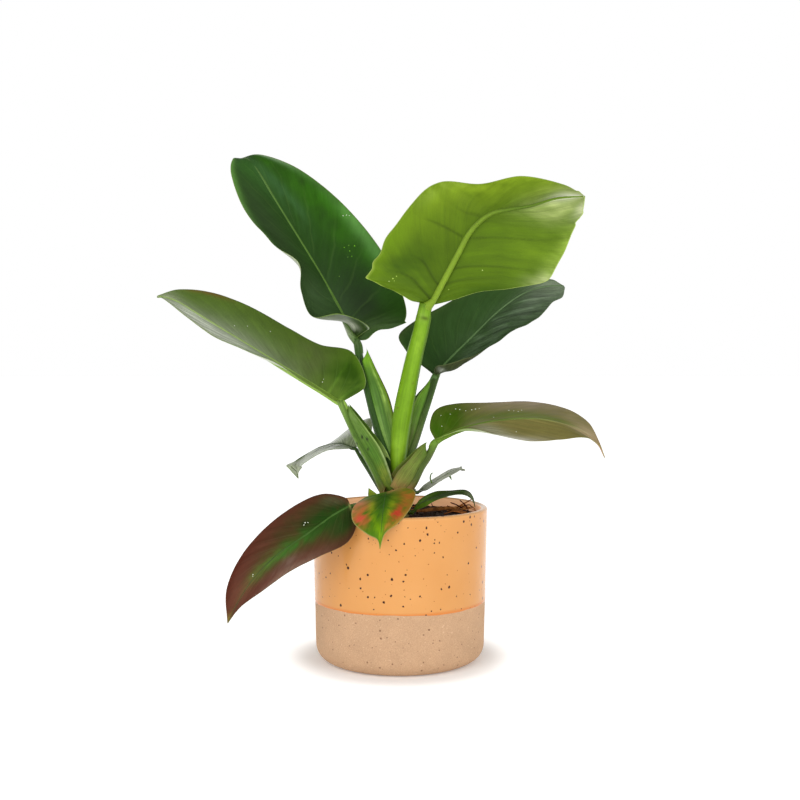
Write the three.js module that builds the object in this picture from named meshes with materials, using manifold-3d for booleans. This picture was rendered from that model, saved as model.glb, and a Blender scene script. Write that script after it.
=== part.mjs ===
// Imperial green philodendron, a young plant of ten leaves, in a round two-tone stoneware pot.
// Millimetres, +Z up. The origin is the middle of the pot's underside, and the front is -Y.
import * as THREE from 'three';
import { mergeVertices } from 'three/addons/utils/BufferGeometryUtils.js';
import Module from 'manifold-3d';

const wasm = await Module();
wasm.setup();

// Pot
const POT_HEIGHT = 124;
const RIM_RADIUS = 70.5;
const FOOT_RADIUS = 68.5;
const FOOT_CORNER = 13;
const WALL = 4.6;
const FLOOR = 7;

// Soil
const SOIL_TOP = 116.5;
const SOIL_SWELL = 0.9;
const ROOT_RADIUS = 1.4;

// Stem
const STEM_X = -3;
const STEM_Y = -7;
const STEM_BOTTOM = 84;
const STEM_TOP = 156;

// Leaves
const BLADE = 0.8;
const WING = 1.2;
const GAP = 0.3;

const group = new THREE.Group();
group.name = 'potted_imperial_green_philodendron';

const material = (color, roughness) => new THREE.MeshStandardMaterial({ color, roughness, metalness: 0 });

// Solids and meshes

function toSolid(geometry) {
  const bare = geometry.index ? geometry.clone() : geometry;
  bare.deleteAttribute('normal');
  bare.deleteAttribute('uv');
  const merged = mergeVertices(bare, 1e-4);
  return makeSolid(merged.attributes.position.array, merged.index.array);
}

function makeSolid(positions, triangles) {
  const mesh = new wasm.Mesh({
    numProp: 3,
    vertProperties: Float32Array.from(positions),
    triVerts: Uint32Array.from(triangles),
  });
  return new wasm.Manifold(mesh);
}

function largest(solid) {
  const bodies = solid.decompose();
  bodies.sort((a, b) => b.volume() - a.volume());
  return bodies[0];
}

function addPart(name, solid, look) {
  const out = solid.getMesh();
  const geometry = new THREE.BufferGeometry();
  geometry.setAttribute('position', new THREE.BufferAttribute(Float32Array.from(out.vertProperties), 3));
  geometry.setIndex(Array.from(out.triVerts));
  geometry.computeVertexNormals();
  const mesh = new THREE.Mesh(geometry, look);
  mesh.name = name;
  group.add(mesh);
}

// Curves

const vectors = (list) => list.map((p) => new THREE.Vector3(...p));

function curve(list) {
  const path = new THREE.CatmullRomCurve3(vectors(list), false, 'catmullrom', 0.5);
  return (share) => path.getPoint(THREE.MathUtils.clamp(share, 0, 1));
}

function along(list) {
  if (list.length === 1) {
    return () => list[0];
  }
  const path = curve(list.map((value) => [value, 0, 0]));
  return (share) => path(share).x;
}

// A blade is spanned by three curves, all from the stalk to the tip: the midrib and the two margins.
// Each rib runs from the midrib to a margin, and bends by the bulge towards the upper face.
// fan above 1 makes the ribs of the basal lobes leave the midrib close together.
function bladeSolid({ mid, left, right, fan = 1.6, bulge = [[0], [0]], rows = 18, cols = 4, rib = 1.4 }) {
  const midrib = curve(mid);
  const margins = [curve(left), curve(right)];
  const bulges = bulge.map(along);
  const grid = [];
  for (let i = 0; i <= rows; i += 1) {
    const u = i / rows;
    const root = midrib(u ** fan);
    const ahead = midrib(Math.min(u ** fan + 0.02, 1)).sub(midrib(Math.max(u ** fan - 0.02, 0))).normalize();
    const row = [];
    for (let j = -cols; j <= cols; j += 1) {
      const side = j < 0 ? 0 : 1;
      const v = (Math.abs(j) / cols) ** 1.25;
      const edge = margins[side](u);
      const across = edge.clone().sub(root);
      const up = across.clone().cross(ahead).multiplyScalar(side ? 1 : -1).normalize();
      const point = root.clone().addScaledVector(across, v);
      point.addScaledVector(up, bulges[side](u) * 4 * v * (1 - v));
      row.push(point);
    }
    grid.push(row);
  }
  const positions = [];
  const index = [];
  const normal = (i, j) => {
    const a = grid[Math.max(i - 1, 0)][j];
    const b = grid[Math.min(i + 1, rows)][j];
    const c = grid[i][Math.max(j - 1, 0)];
    const d = grid[i][Math.min(j + 1, 2 * cols)];
    return d.clone().sub(c).cross(b.clone().sub(a)).normalize();
  };
  const place = (i, j) => {
    const end = i === 0 || i === rows;
    const row = end ? (i === 0 ? 1 : rows - 1) : i;
    const up = normal(row, end ? cols : j);
    const depth = BLADE + (j === cols ? rib * (1 - 0.7 * (i / rows)) : 0);
    const top = grid[i][j];
    const under = top.clone().addScaledVector(up, -depth);
    positions.push(top.x, top.y, top.z, under.x, under.y, under.z);
    return positions.length / 3 - 2;
  };
  for (let i = 0; i <= rows; i += 1) {
    const end = i === 0 || i === rows;
    const shared = end ? place(i, cols) : null;
    index.push(grid[i].map((_, j) => (end ? shared : place(i, j))));
  }
  const triangles = [];
  const face = (a, b, c) => {
    if (a !== b && b !== c && c !== a) {
      triangles.push(a, b, c);
    }
  };
  for (let i = 0; i < rows; i += 1) {
    for (let j = 0; j < 2 * cols; j += 1) {
      const [a, b, c, d] = [index[i][j], index[i][j + 1], index[i + 1][j + 1], index[i + 1][j]];
      face(a, b, c);
      face(a, c, d);
      face(a + 1, c + 1, b + 1);
      face(a + 1, d + 1, c + 1);
    }
    const [a, b] = [index[i][0], index[i + 1][0]];
    face(a, b, b + 1);
    face(a, b + 1, a + 1);
    const [c, d] = [index[i][2 * cols], index[i + 1][2 * cols]];
    face(c, d + 1, d);
    face(c, c + 1, d + 1);
  }
  return makeSolid(positions, triangles);
}

// A stalk is a channelled sheath between two curves, both from the crown to the blade:
// its rounded back, and the middle of the line between its two wings.
// half is half its width, and channel is the open share of its depth.
function stalkSolid({ back, wing, half, channel = [0.6, 0.6, 0.5, 0.15], steps = 9 }, grow = 0) {
  const backLine = curve(back);
  const wingLine = curve(wing);
  const halves = along(half);
  const open = along(channel);
  const positions = [];
  const outline = [];
  let size = 0;
  for (let i = 0; i <= steps; i += 1) {
    const u = i / steps;
    const middle = (s) => backLine(s).add(wingLine(s)).multiplyScalar(0.5);
    const axis = middle(Math.min(u + 0.02, 1)).sub(middle(Math.max(u - 0.02, 0))).normalize();
    const inward = wingLine(u).sub(backLine(u));
    const reach = inward.length();
    inward.addScaledVector(axis, -inward.dot(axis)).normalize();
    const side = axis.clone().cross(inward);
    const h = halves(u);
    const r = Math.min(h, reach * 0.5);
    const bottom = reach * (1 - open(u));
    const outer = [[reach, h * 0.78], [reach * 0.7, h * 0.95], [r, h], [r * 0.3, h * 0.72], [0, 0]];
    const inner = [[reach, Math.max(h * 0.78 - WING, 0.3)], [(reach + bottom) / 2, Math.max(h * 0.9 - WING, 0.5)],
      [bottom, Math.max(h * 0.6 - WING, 0.3)]];
    const grown = outer.map(([a, b]) => [a > r ? a + grow : a - grow, b > 0 ? b + grow : 0]);
    const mirrored = grown.slice(0, -1).reverse().map(([a, b]) => [a, -b]);
    const ring = [...grown, ...mirrored];
    if (grow === 0) {
      ring.push(...inner.map(([a, b]) => [a, -b]), ...[...inner].reverse());
    }
    size = ring.length;
    if (i === 0 || i === steps) {
      outline.push(ring.map(([a, b]) => new THREE.Vector2(a, b)));
    }
    const foot = backLine(u);
    for (const [a, b] of ring) {
      const p = foot.clone().addScaledVector(inward, a).addScaledVector(side, b);
      if (i === 0 || i === steps) {
        p.addScaledVector(axis, i === 0 ? -grow : grow);
      }
      positions.push(p.x, p.y, p.z);
    }
  }
  const triangles = [];
  for (let i = 0; i < steps; i += 1) {
    for (let k = 0; k < size; k += 1) {
      const a = i * size + k;
      const b = i * size + ((k + 1) % size);
      triangles.push(a, b, b + size, a, b + size, a + size);
    }
  }
  const first = THREE.ShapeUtils.triangulateShape(outline[0], []);
  const last = THREE.ShapeUtils.triangulateShape(outline[1], []);
  for (const [a, b, c] of first) {
    triangles.push(a, c, b);
  }
  const base = steps * size;
  for (const [a, b, c] of last) {
    triangles.push(base + a, base + b, base + c);
  }
  return makeSolid(positions, triangles);
}

function tubeSolid(points, radius, sides = 8, steps = 16) {
  const shape = new THREE.Shape();
  shape.absarc(0, 0, radius, 0, Math.PI * 2, false);
  const path = new THREE.CatmullRomCurve3(vectors(points));
  const options = { steps, curveSegments: sides / 2, bevelEnabled: false, extrudePath: path };
  return toSolid(new THREE.ExtrudeGeometry(shape, options));
}

function latheSolid(profile, segments, shape = null) {
  const geometry = new THREE.LatheGeometry(profile.map(([r, z]) => new THREE.Vector2(r, z)), segments);
  geometry.rotateX(Math.PI / 2);
  const position = geometry.attributes.position;
  for (let k = 0; shape && k < position.count; k += 1) {
    position.setXYZ(k, ...shape(position.getX(k), position.getY(k), position.getZ(k)));
  }
  return toSolid(geometry);
}

// Pot and soil

const inner = RIM_RADIUS - WALL;
const cornerArc = [];
for (let k = 0; k <= 5; k += 1) {
  const a = (k / 5) * (Math.PI / 2);
  cornerArc.push([FOOT_RADIUS - FOOT_CORNER * (1 - Math.sin(a)), FOOT_CORNER * (1 - Math.cos(a))]);
}
const potProfile = [
  [0, 0],
  ...cornerArc,
  [RIM_RADIUS - 0.2, POT_HEIGHT - 1.6],
  [RIM_RADIUS - 1.2, POT_HEIGHT - 0.3],
  [RIM_RADIUS - 2.3, POT_HEIGHT],
  [RIM_RADIUS - 3.4, POT_HEIGHT - 0.3],
  [inner, POT_HEIGHT - 1.8],
  [inner - 1.2, FLOOR + 10],
  [inner - 8, FLOOR],
  [0, FLOOR],
];
addPart('pot', latheSolid(potProfile, 56), material(0xe0a368, 0.25));

const soilProfile = [
  [0, FLOOR + GAP],
  [inner - 8.4, FLOOR + GAP],
  [inner - 1.7, FLOOR + 10],
  [inner - 0.5, SOIL_TOP - 1.2],
  [inner - 6, SOIL_TOP],
  [inner - 20, SOIL_TOP],
  [inner - 36, SOIL_TOP],
  [inner - 50, SOIL_TOP],
  [0, SOIL_TOP],
];
const soilLevel = (x, y) => SOIL_TOP + SOIL_SWELL * (Math.sin(x / 9 + 1) * Math.cos(y / 11) - 0.6);
const soilShape = (x, y, z) => [x, y, z > SOIL_TOP - 0.5 ? soilLevel(x, y) : z];

// Stem

const stemProfile = [
  [0, STEM_BOTTOM],
  [5, STEM_BOTTOM + 2],
  [9.5, 112],
  [10.2, 122],
  [8.8, 136],
  [5.5, 149],
  [2.5, 154.5],
  [0, STEM_TOP],
];
const stemShape = (x, y, z) => [x + STEM_X, y + STEM_Y, z];
const grownProfile = stemProfile.map(([r, z]) => [r > 0 ? r + GAP : 0, z + GAP * Math.sign(z - 115)]);
const stem = latheSolid(stemProfile, 24, stemShape);
const stemGrown = latheSolid(grownProfile, 24, stemShape);

// Stalks and blades, from the youngest leaf to the oldest

const leaves = [
  {
    name: 'leaf_new',
    color: 0x7fa428,
    stalkColor: 0x93b838,
    back: [[-2, -12, 151], [-1, -14, 179], [2, -17, 202], [6, -21, 223], [11, -25, 247], [16, -28, 267], [20, -31, 287]],
    wing: [[-2, 2, 150], [0, 1, 178], [3, -1, 201], [7, -5, 223], [12, -10, 247], [17, -15, 267], [21, -22, 288]],
    half: [6, 7.4, 7.8, 7.2, 6.4, 5.8, 5.4],
    mid: [[24, -26, 286], [36, -40, 307], [48, -54, 329], [60, -66, 348], [76, -76, 354], [91, -80, 355],
      [112, -84, 361], [137, -78, 364]],
    left: [[24, -26, 286], [41, -32, 290], [62, -42, 296], [86, -54, 298], [109, -64, 304], [121, -70, 320],
      [128, -77, 338], [134, -84, 352], [137, -78, 364]],
    right: [[24, -26, 286], [4, -22, 293], [-29, -14, 311], [-14, -12, 333], [8, -26, 364], [31, -42, 380],
      [61, -54, 377], [91, -66, 381], [121, -72, 374], [137, -78, 364]],
  },
  {
    name: 'leaf_tall_left',
    color: 0x2f5f24,
    stalkColor: 0x5d8a3a,
    back: [[-6, -4, 140], [-14, 0, 161], [-23, 5, 190], [-30, 10, 218], [-36, 14, 241], [-39, 17, 260]],
    wing: [[2, -3, 142], [0, 0, 160], [-3, 3, 184], [-9, 7, 212], [-21, 12, 238], [-31, 17, 260]],
    half: [7.5, 7.5, 6.8, 5.8, 4.6, 3.8],
    mid: [[-36, 18, 261], [-48, 26, 282], [-66, 34, 314], [-85, 42, 345], [-110, 54, 385], [-128, 66, 414],
      [-141, 80, 420]],
    left: [[-36, 18, 261], [-26, 0, 271], [-48, -16, 280], [-70, -18, 278], [-80, -4, 300], [-82, -4, 322],
      [-106, 8, 339], [-130, 26, 369], [-144, 50, 401], [-146, 72, 418], [-141, 80, 420]],
    right: [[-36, 18, 261], [-17, 16, 268], [3, 14, 274], [3, 26, 295], [-16, 42, 336], [-49, 57, 377],
      [-87, 66, 408], [-121, 73, 422], [-141, 80, 420]],
    bulge: [[0, 2, -8, -2, 0, 0], [0, 0, 0, 0]],
  },
  {
    name: 'leaf_right',
    color: 0x2b5328,
    stalkColor: 0x53783a,
    back: [[2, 2, 139], [8, 4, 154], [15, 8, 172], [21, 12, 190], [26, 15, 206], [30, 18, 220], [34, 21, 232]],
    wing: [[-3, 0, 139], [1, 3, 159], [5, 6, 180], [8, 9, 198], [13, 12, 212], [22, 17, 223], [27, 21, 231]],
    half: [7, 7, 6.6, 6, 5, 4.2, 3.6],
    mid: [[29, 22, 230], [42, 34, 244], [62, 48, 263], [84, 62, 284], [108, 78, 301], [129, 88, 308],
      [147, 92, 309]],
    left: [[29, 22, 230], [7, 26, 250], [-1, 30, 263], [11, 40, 275], [34, 52, 288], [70, 70, 307],
      [107, 86, 316], [134, 94, 315], [147, 92, 309]],
    right: [[29, 22, 230], [30, 8, 237], [51, 14, 242], [75, 26, 253], [97, 36, 269], [118, 46, 279],
      [134, 68, 295], [147, 92, 309]],
    bulge: [[0, 0, 0], [0, -9, -3, 0, 0]],
  },
  {
    name: 'leaf_left',
    color: 0x586f32,
    stalkColor: 0x6c8c42,
    back: [[-15, -10, 132], [-19, -9, 144], [-26, -8, 158], [-35, -7, 174], [-44, -6, 193], [-52, -6, 210]],
    wing: [[-2, -13, 138], [-7, -13, 156], [-14, -12, 172], [-25, -10, 187], [-37, -8, 202], [-45, -6, 211]],
    half: [8.5, 8, 7, 5.8, 4.6, 3.6],
    mid: [[-47, -6, 209], [-63, -8, 220], [-81, -10, 232], [-104, -13, 247], [-128, -15, 262],
      [-152, -16, 277], [-176, -13, 291], [-196, -6, 295]],
    left: [[-47, -6, 209], [-54, -30, 219], [-71, -44, 228], [-93, -48, 242], [-116, -46, 249],
      [-141, -42, 259], [-165, -32, 274], [-186, -18, 290], [-196, -6, 295]],
    right: [[-47, -6, 209], [-34, -1, 217], [-28, 0, 228], [-40, 12, 250], [-67, 24, 256], [-92, 28, 269],
      [-126, 27, 288], [-156, 22, 299], [-181, 10, 301], [-196, -6, 295]],
  },
  {
    name: 'leaf_right_low',
    color: 0x6d7038,
    stalkColor: 0x8d8a4c,
    back: [[6, -18, 133], [13, -18, 143], [19, -17, 155], [25, -16, 164], [31, -15, 176]],
    wing: [[-9, -22, 144], [-3, -22, 155], [6, -20, 164], [15, -17, 173], [26, -15, 180]],
    half: [9, 8, 6.4, 4.6, 3.2],
    mid: [[28, -14, 179], [44, -18, 187], [64, -23, 193], [87, -28, 197], [110, -33, 197], [134, -34, 191],
      [154, -31, 179], [160, -30, 167]],
    left: [[28, -14, 179], [24, -6, 189], [29, 4, 202], [45, 11, 207], [74, 11, 208], [107, 6, 209],
      [134, -4, 204], [150, -18, 194], [157, -28, 180], [160, -30, 167]],
    right: [[28, -14, 179], [38, -30, 185], [54, -42, 190], [77, -50, 185], [100, -54, 181],
      [123, -52, 182], [144, -44, 183], [157, -33, 176], [160, -30, 167]],
  },
  {
    name: 'leaf_back_left',
    color: 0x8b9488,
    stalkColor: 0x4d6a34,
    back: [[-14, 3, 130], [-27, 16, 148], [-35, 28, 158], [-40, 38, 167]],
    wing: [[-8, 2, 137], [-22, 15, 152], [-30, 28, 161], [-37, 38, 171]],
    half: [5, 3.8, 2.8, 2],
    channel: [0.4, 0.3, 0.2, 0.15],
    mid: [[-39, 40, 168], [-50, 45, 171], [-62, 52, 170], [-75, 58, 165], [-87, 64, 157], [-96, 67, 151],
      [-91, 65, 146], [-89, 62, 139]],
    left: [[-39, 40, 168], [-48, 30, 168], [-61, 27, 167], [-73, 30, 161], [-84, 40, 153], [-88, 54, 147],
      [-89, 62, 139]],
    right: [[-39, 40, 168], [-26, 50, 177], [-26, 62, 192], [-44, 76, 183], [-62, 84, 169], [-80, 84, 160],
      [-96, 76, 151], [-96, 68, 146], [-89, 62, 139]],
    rows: 14,
    cols: 3,
    rib: 0.8,
  },
  {
    name: 'leaf_front',
    color: 0x5d7c2c,
    stalkColor: 0x7c9540,
    back: [[-6, -14, 130], [-9, -26, 132], [-11, -38, 136]],
    wing: [[-6, -14, 143], [-9, -26, 141], [-11, -37, 139.6]],
    half: [6, 4.4, 3],
    channel: [0.4, 0.3, 0.15],
    mid: [[-11, -39, 140], [-12, -54, 134], [-13, -68, 127.5], [-14, -78, 117], [-15, -81, 102]],
    left: [[-11, -39, 140], [3, -36, 143], [12, -43, 140], [8, -60, 130], [-1, -75, 121], [-11, -79, 113.5],
      [-15, -81, 102]],
    right: [[-11, -39, 140], [-27, -40, 136], [-36, -62, 130.5], [-35, -73, 121], [-25, -77, 113],
      [-17, -80, 109], [-15, -81, 102]],
    rows: 14,
    cols: 3,
    rib: 0.8,
  },
  {
    name: 'leaf_low_left',
    color: 0x5a3a2e,
    stalkColor: 0x6a6a38,
    back: [[-8, -14, 126], [-17, -26, 126], [-28, -41, 128], [-37, -55, 129.5]],
    wing: [[-6, -14, 135], [-16, -26, 133], [-27, -41, 132.5], [-36.6, -54.6, 133.4]],
    half: [5, 4, 3, 2.4],
    channel: [0.4, 0.3, 0.2, 0.15],
    mid: [[-38, -56, 132], [-53, -63, 124], [-70, -69, 112], [-87, -73, 101], [-104, -76, 86],
      [-118, -77, 68], [-130, -76, 45]],
    left: [[-38, -56, 132], [-33, -66, 119], [-40, -76, 106], [-60, -82, 97], [-82, -84, 86],
      [-103, -84, 71], [-119, -82, 59], [-130, -76, 45]],
    right: [[-38, -56, 132], [-43, -48, 137], [-61, -44, 139], [-81, -50, 131], [-103, -58, 115],
      [-121, -67, 94], [-131, -73, 70], [-130, -76, 45]],
    rows: 16,
    rib: 1.2,
  },
  {
    name: 'leaf_low_right',
    color: 0x345a26,
    stalkColor: 0x7c9a3e,
    back: [[-2, -12, 119], [4, -22, 120], [9, -31, 121]],
    wing: [[-2, -12, 125], [4, -22, 124], [10, -31, 125]],
    half: [4, 3, 2.2],
    channel: [0.4, 0.3, 0.15],
    mid: [[10, -31, 124], [17, -26, 130], [28, -19, 133], [40, -11, 136], [52, -3, 136], [59, 1, 131],
      [62, 4, 122]],
    left: [[10, -31, 124], [16, -15, 131], [28, -4, 136], [41, 4, 136], [54, 8, 136], [60, 7, 131],
      [62, 4, 122]],
    right: [[10, -31, 124], [19, -36, 128], [29, -33, 134], [41, -25, 137], [52, -13, 135], [59, -3, 129],
      [62, 4, 122]],
    rows: 12,
    cols: 3,
    rib: 0.6,
  },
  {
    name: 'leaf_back_right',
    color: 0x7d8a7c,
    stalkColor: 0x5a7438,
    back: [[0, 0, 132], [8, 10, 132], [15, 18, 131]],
    wing: [[0, 0, 139], [8, 10, 137], [14, 18, 135]],
    half: [4, 3, 2],
    channel: [0.4, 0.3, 0.15],
    mid: [[15, 18, 134], [27, 28, 139], [40, 40, 146], [50, 51, 149], [54, 56, 147]],
    left: [[15, 18, 134], [21, 32, 138], [32, 46, 143], [43, 56, 148], [51, 60, 149], [54, 56, 147]],
    right: [[15, 18, 134], [22, 14, 135], [34, 20, 142], [47, 36, 147], [54, 49, 149.5], [54, 56, 147]],
    rows: 12,
    cols: 3,
    rib: 0.6,
  },
];

const grownStalks = [stemGrown];
for (const leaf of leaves) {
  let stalk = stalkSolid(leaf);
  for (const younger of grownStalks) {
    stalk = stalk.subtract(younger);
  }
  addPart(`${leaf.name}_stalk`, largest(stalk), material(leaf.stalkColor, 0.45));
  grownStalks.push(stalkSolid(leaf, GAP));
}
for (const leaf of leaves) {
  let blade = bladeSolid(leaf);
  for (const stalk of grownStalks) {
    blade = blade.subtract(stalk);
  }
  addPart(`${leaf.name}_blade`, largest(blade), material(leaf.color, 0.35));
}

addPart('stem', stem, material(0x6f8440, 0.6));

// What lies on the soil: a half-sunk root from the stem's foot, and a dried leaf sheath

const rootPath = [[5, -5, 120.5], [17, 2, 118], [30, 8, 116.6], [44, 10, 116.4], [58, 7, 115.6]];
const root = tubeSolid(rootPath, ROOT_RADIUS);
const rootGrown = tubeSolid(rootPath, ROOT_RADIUS + GAP);
addPart('root', largest(root.subtract(stemGrown)), material(0x8a5a2c, 0.8));
const soil = latheSolid(soilProfile, 40, soilShape).subtract(stemGrown).subtract(rootGrown);
addPart('soil', largest(soil), material(0x2a1d15, 0.95));

const husk = bladeSolid({
  mid: [[39, 19, 117.4], [46, 21, 120], [53, 22, 121.4], [59, 22, 120]],
  left: [[39, 19, 117.4], [41, 25, 117.8], [48, 28, 119.6], [55, 27, 120.4], [59, 22, 120]],
  right: [[39, 19, 117.4], [45, 15, 117.8], [52, 15.5, 118.8], [58, 17.5, 119.4], [59, 22, 120]],
  rows: 8,
  cols: 2,
  rib: 0.2,
});
addPart('husk', husk, material(0xc07a34, 0.8));

// The tip of a bud scale between the front stalks

let budScale = bladeSolid({
  mid: [[-14, -23, 126], [-18, -27, 131], [-22, -29, 137], [-25, -30, 142]],
  left: [[-14, -23, 126], [-20, -24, 128], [-25, -26, 134], [-25, -30, 142]],
  right: [[-14, -23, 126], [-13, -29, 130], [-18, -31, 137], [-25, -30, 142]],
  rows: 8,
  cols: 2,
  rib: 0.4,
});
for (const stalk of grownStalks) {
  budScale = budScale.subtract(stalk);
}
addPart('bud_scale', largest(budScale), material(0x8fae3c, 0.5));

export default group;
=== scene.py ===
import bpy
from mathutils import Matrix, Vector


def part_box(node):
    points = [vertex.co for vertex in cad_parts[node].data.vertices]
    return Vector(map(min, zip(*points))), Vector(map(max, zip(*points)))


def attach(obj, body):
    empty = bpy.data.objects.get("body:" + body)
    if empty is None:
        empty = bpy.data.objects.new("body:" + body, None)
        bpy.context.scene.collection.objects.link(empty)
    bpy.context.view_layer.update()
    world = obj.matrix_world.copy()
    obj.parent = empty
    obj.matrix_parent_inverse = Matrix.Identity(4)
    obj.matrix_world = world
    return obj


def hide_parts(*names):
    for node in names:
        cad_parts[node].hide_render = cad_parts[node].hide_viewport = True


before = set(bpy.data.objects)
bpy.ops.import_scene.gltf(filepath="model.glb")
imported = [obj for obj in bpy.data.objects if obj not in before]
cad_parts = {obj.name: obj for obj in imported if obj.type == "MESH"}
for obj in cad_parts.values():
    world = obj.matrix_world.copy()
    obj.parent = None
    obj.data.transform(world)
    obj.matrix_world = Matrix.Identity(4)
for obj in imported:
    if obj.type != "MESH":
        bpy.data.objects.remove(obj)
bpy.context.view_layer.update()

# A potted imperial green philodendron: ten glossy leaves on sheathing stalks, in a half-glazed pot.
# Shapes are worked out in millimetres and put into the meshes in metres. +Z is up and the front is -Y.
# Every blade and stalk is spanned by curves through a few points, listed with its leaf.
import bpy
import numpy as np
from mathutils import Vector

MM = 0.001
BODY = "root"


# Sizes from the frame

POT_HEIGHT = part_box("pot")[1].z / MM
RIM_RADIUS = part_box("pot")[1].x / MM + 1
FOOT_RADIUS = RIM_RADIUS - 2.2
FOOT_CORNER = 13
WALL = 5.6
FLOOR = 7
GLAZE_LINE = 48.8
SOIL_TOP = 116.5
GLAZE = 0.35
BLADE_THICKNESS = 0.55

# The rib of a blade that ends at share u of the margin starts at share u^BLADE_FAN of the midrib
BLADE_FAN = 1.6

# The distance to a blade's margin is told apart up to here
EDGE_REACH = 9

# Rings along a stalk and a midrib, columns round the pot and the soil, and crumbs on the soil
STALK_STEPS = 120
MIDRIB_STEPS = 90
POT_SIDES = 192
SOIL_SIDES = 150
CRUMBS = 420

# Light, as strengths of the white surround
FRONT_LIGHT = 0.4
BACK_LIGHT = 1.15
OVERHEAD_LIGHT = 0.25
# The floor's glow far from the pot; add_floor dims it near the pot, a painted shadow.
FLOOR_GLOW = 0.7


# Curves and small shape tools

def unit(v):
    """Each vector divided by its own length."""
    return v / np.maximum(np.linalg.norm(v, axis=-1, keepdims=True), 1e-9)


def spline(points, share):
    """Smooth curve through evenly spaced points, at shares 0..1 of its length. Between b and c, with a before
    and d after, it is the cubic that leaves b with slope (c - a) / 2 and reaches c with slope (d - b) / 2."""
    p = np.asarray(points, float)
    last = len(p) - 1
    ends = np.concatenate([[2 * p[0] - p[1]], p, [2 * p[-1] - p[-2]]])
    place = np.clip(np.asarray(share, float), 0, 1) * last
    i = np.minimum(place.astype(int), last - 1)
    t = (place - i).reshape(np.shape(place) + (1,) * (p.ndim - 1))
    a, b, c, d = ends[i], ends[i + 1], ends[i + 2], ends[i + 3]
    return b + 0.5 * t * ((c - a) + t * ((2 * a - 5 * b + 4 * c - d) + t * (3 * b - a - 3 * c + d)))


def turns(count):
    """Angles spread evenly round a full turn."""
    return np.linspace(0, 2 * np.pi, count, endpoint=False)


def pairs(a, b):
    """The pairs of two values, each spread over the other."""
    return np.stack(np.broadcast_arrays(a, b), -1)


def smooth(value, low, high):
    """0 below low, 1 above high and t * t * (3 - 2 t) between them."""
    t = np.clip((value - low) / (high - low), 0, 1)
    return t * t * (3 - 2 * t)


def lumps(points, size, seed):
    """Smooth random height, -1..1: seeded random values at the corners of cells of that size, blended
    between."""
    table = np.random.default_rng(seed).uniform(-1, 1, (32, 32, 32))
    q = np.asarray(points, float) / size
    cell = np.floor(q).astype(int)
    t = q - cell
    t = t * t * (3 - 2 * t)
    total = 0
    for corner in np.ndindex(2, 2, 2):
        weight = np.where(np.array(corner) == 1, t, 1 - t).prod(-1)
        at = (cell + corner) % 32
        total = total + weight * table[at[..., 0], at[..., 1], at[..., 2]]
    return total


def light(color):
    """A colour as the eye reads it, 0..255, turned into the amount of light that it stands for."""
    c = np.asarray(color, float) / 255
    return np.where(c <= 0.04045, c / 12.92, ((c + 0.055) / 1.055) ** 2.4)


def paint(tint):
    """A colour, 0..255, as light, with the strength of the fine streaks beside it: 0.35 if it isn't given."""
    return np.append(light(tint[:3]), tint[3] if len(tint) > 3 else 0.35)


def airbrush(chart, base, strokes):
    """Paint over a surface, at the pairs (u, v) of its chart: the base, then each stroke (colour, centre u
    and v, reach u and v, strength, raggedness) mixed in with the weight strength * exp(-(du / reach_u)^2 -
    (dv / reach_v)^2). A ragged stroke is broken up by random patches. A colour's fourth number sets the fine
    streaks."""
    u, v = chart[..., 0], chart[..., 1]
    made = np.zeros(u.shape + (4,)) + paint(base)
    patches = lumps(np.stack([u * 26, v * 5, 0 * u], -1), 1, 41)
    patches += 0.5 * lumps(np.stack([u * 70, v * 9, 0 * u], -1), 1, 42)
    for tint, at_u, at_v, reach_u, reach_v, strength, *ragged in strokes:
        weight = strength * np.exp(-((u - at_u) / reach_u) ** 2 - ((v - at_v) / reach_v) ** 2)
        weight = np.clip(weight * (1 + 1.3 * (ragged or [0])[0] * patches), 0, 1)[..., None]
        parts = len(tint)
        made[..., :parts] += (paint(tint)[:parts] - made[..., :parts]) * weight
    return made


# Meshes

def skin(rings, start=None, end=None, chart=None, tone=None, edge=EDGE_REACH, materials=0):
    """Closed surface through rings of points, with a pole at each end. The rings run counter-clockwise round
    the way they advance, so that the faces point out. materials is one number, or one for each strip round a
    ring."""
    n, m = rings.shape[:2]
    start = rings[0].mean(0) if start is None else start
    end = rings[-1].mean(0) if end is None else end
    ring = np.arange(n)[:, None] * m
    here = np.arange(m)[None]
    after = (here + 1) % m
    quads = np.stack([ring + here, ring + after, ring + m + after, ring + m + here], -1)[:-1].reshape(-1, 4)
    first = np.stack([np.full(m, n * m), after[0], here[0]], -1)
    last = np.stack([np.full(m, n * m + 1), (n - 1) * m + here[0], (n - 1) * m + after[0]], -1)
    strip = np.zeros(m, int) + materials

    def with_poles(values, width):
        values = np.zeros((n, m, width)) + values
        return np.concatenate([values.reshape(-1, width), [values[0].mean(0), values[-1].mean(0)]])

    return {
        "points": np.concatenate([rings.reshape(-1, 3), [start, end]]),
        "faces": quads.tolist() + first.tolist() + last.tolist(),
        "materials": np.concatenate([np.tile(strip, n - 1), strip, strip]),
        "chart": with_poles(np.zeros((n, m, 2)) if chart is None else chart, 2),
        "tone": with_poles(paint((128, 128, 128)) if tone is None else tone, 4),
        "edge": with_poles(np.zeros((n, m, 1)) + (edge if np.ndim(edge) == 0 else edge[..., None]), 1),
    }


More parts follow.
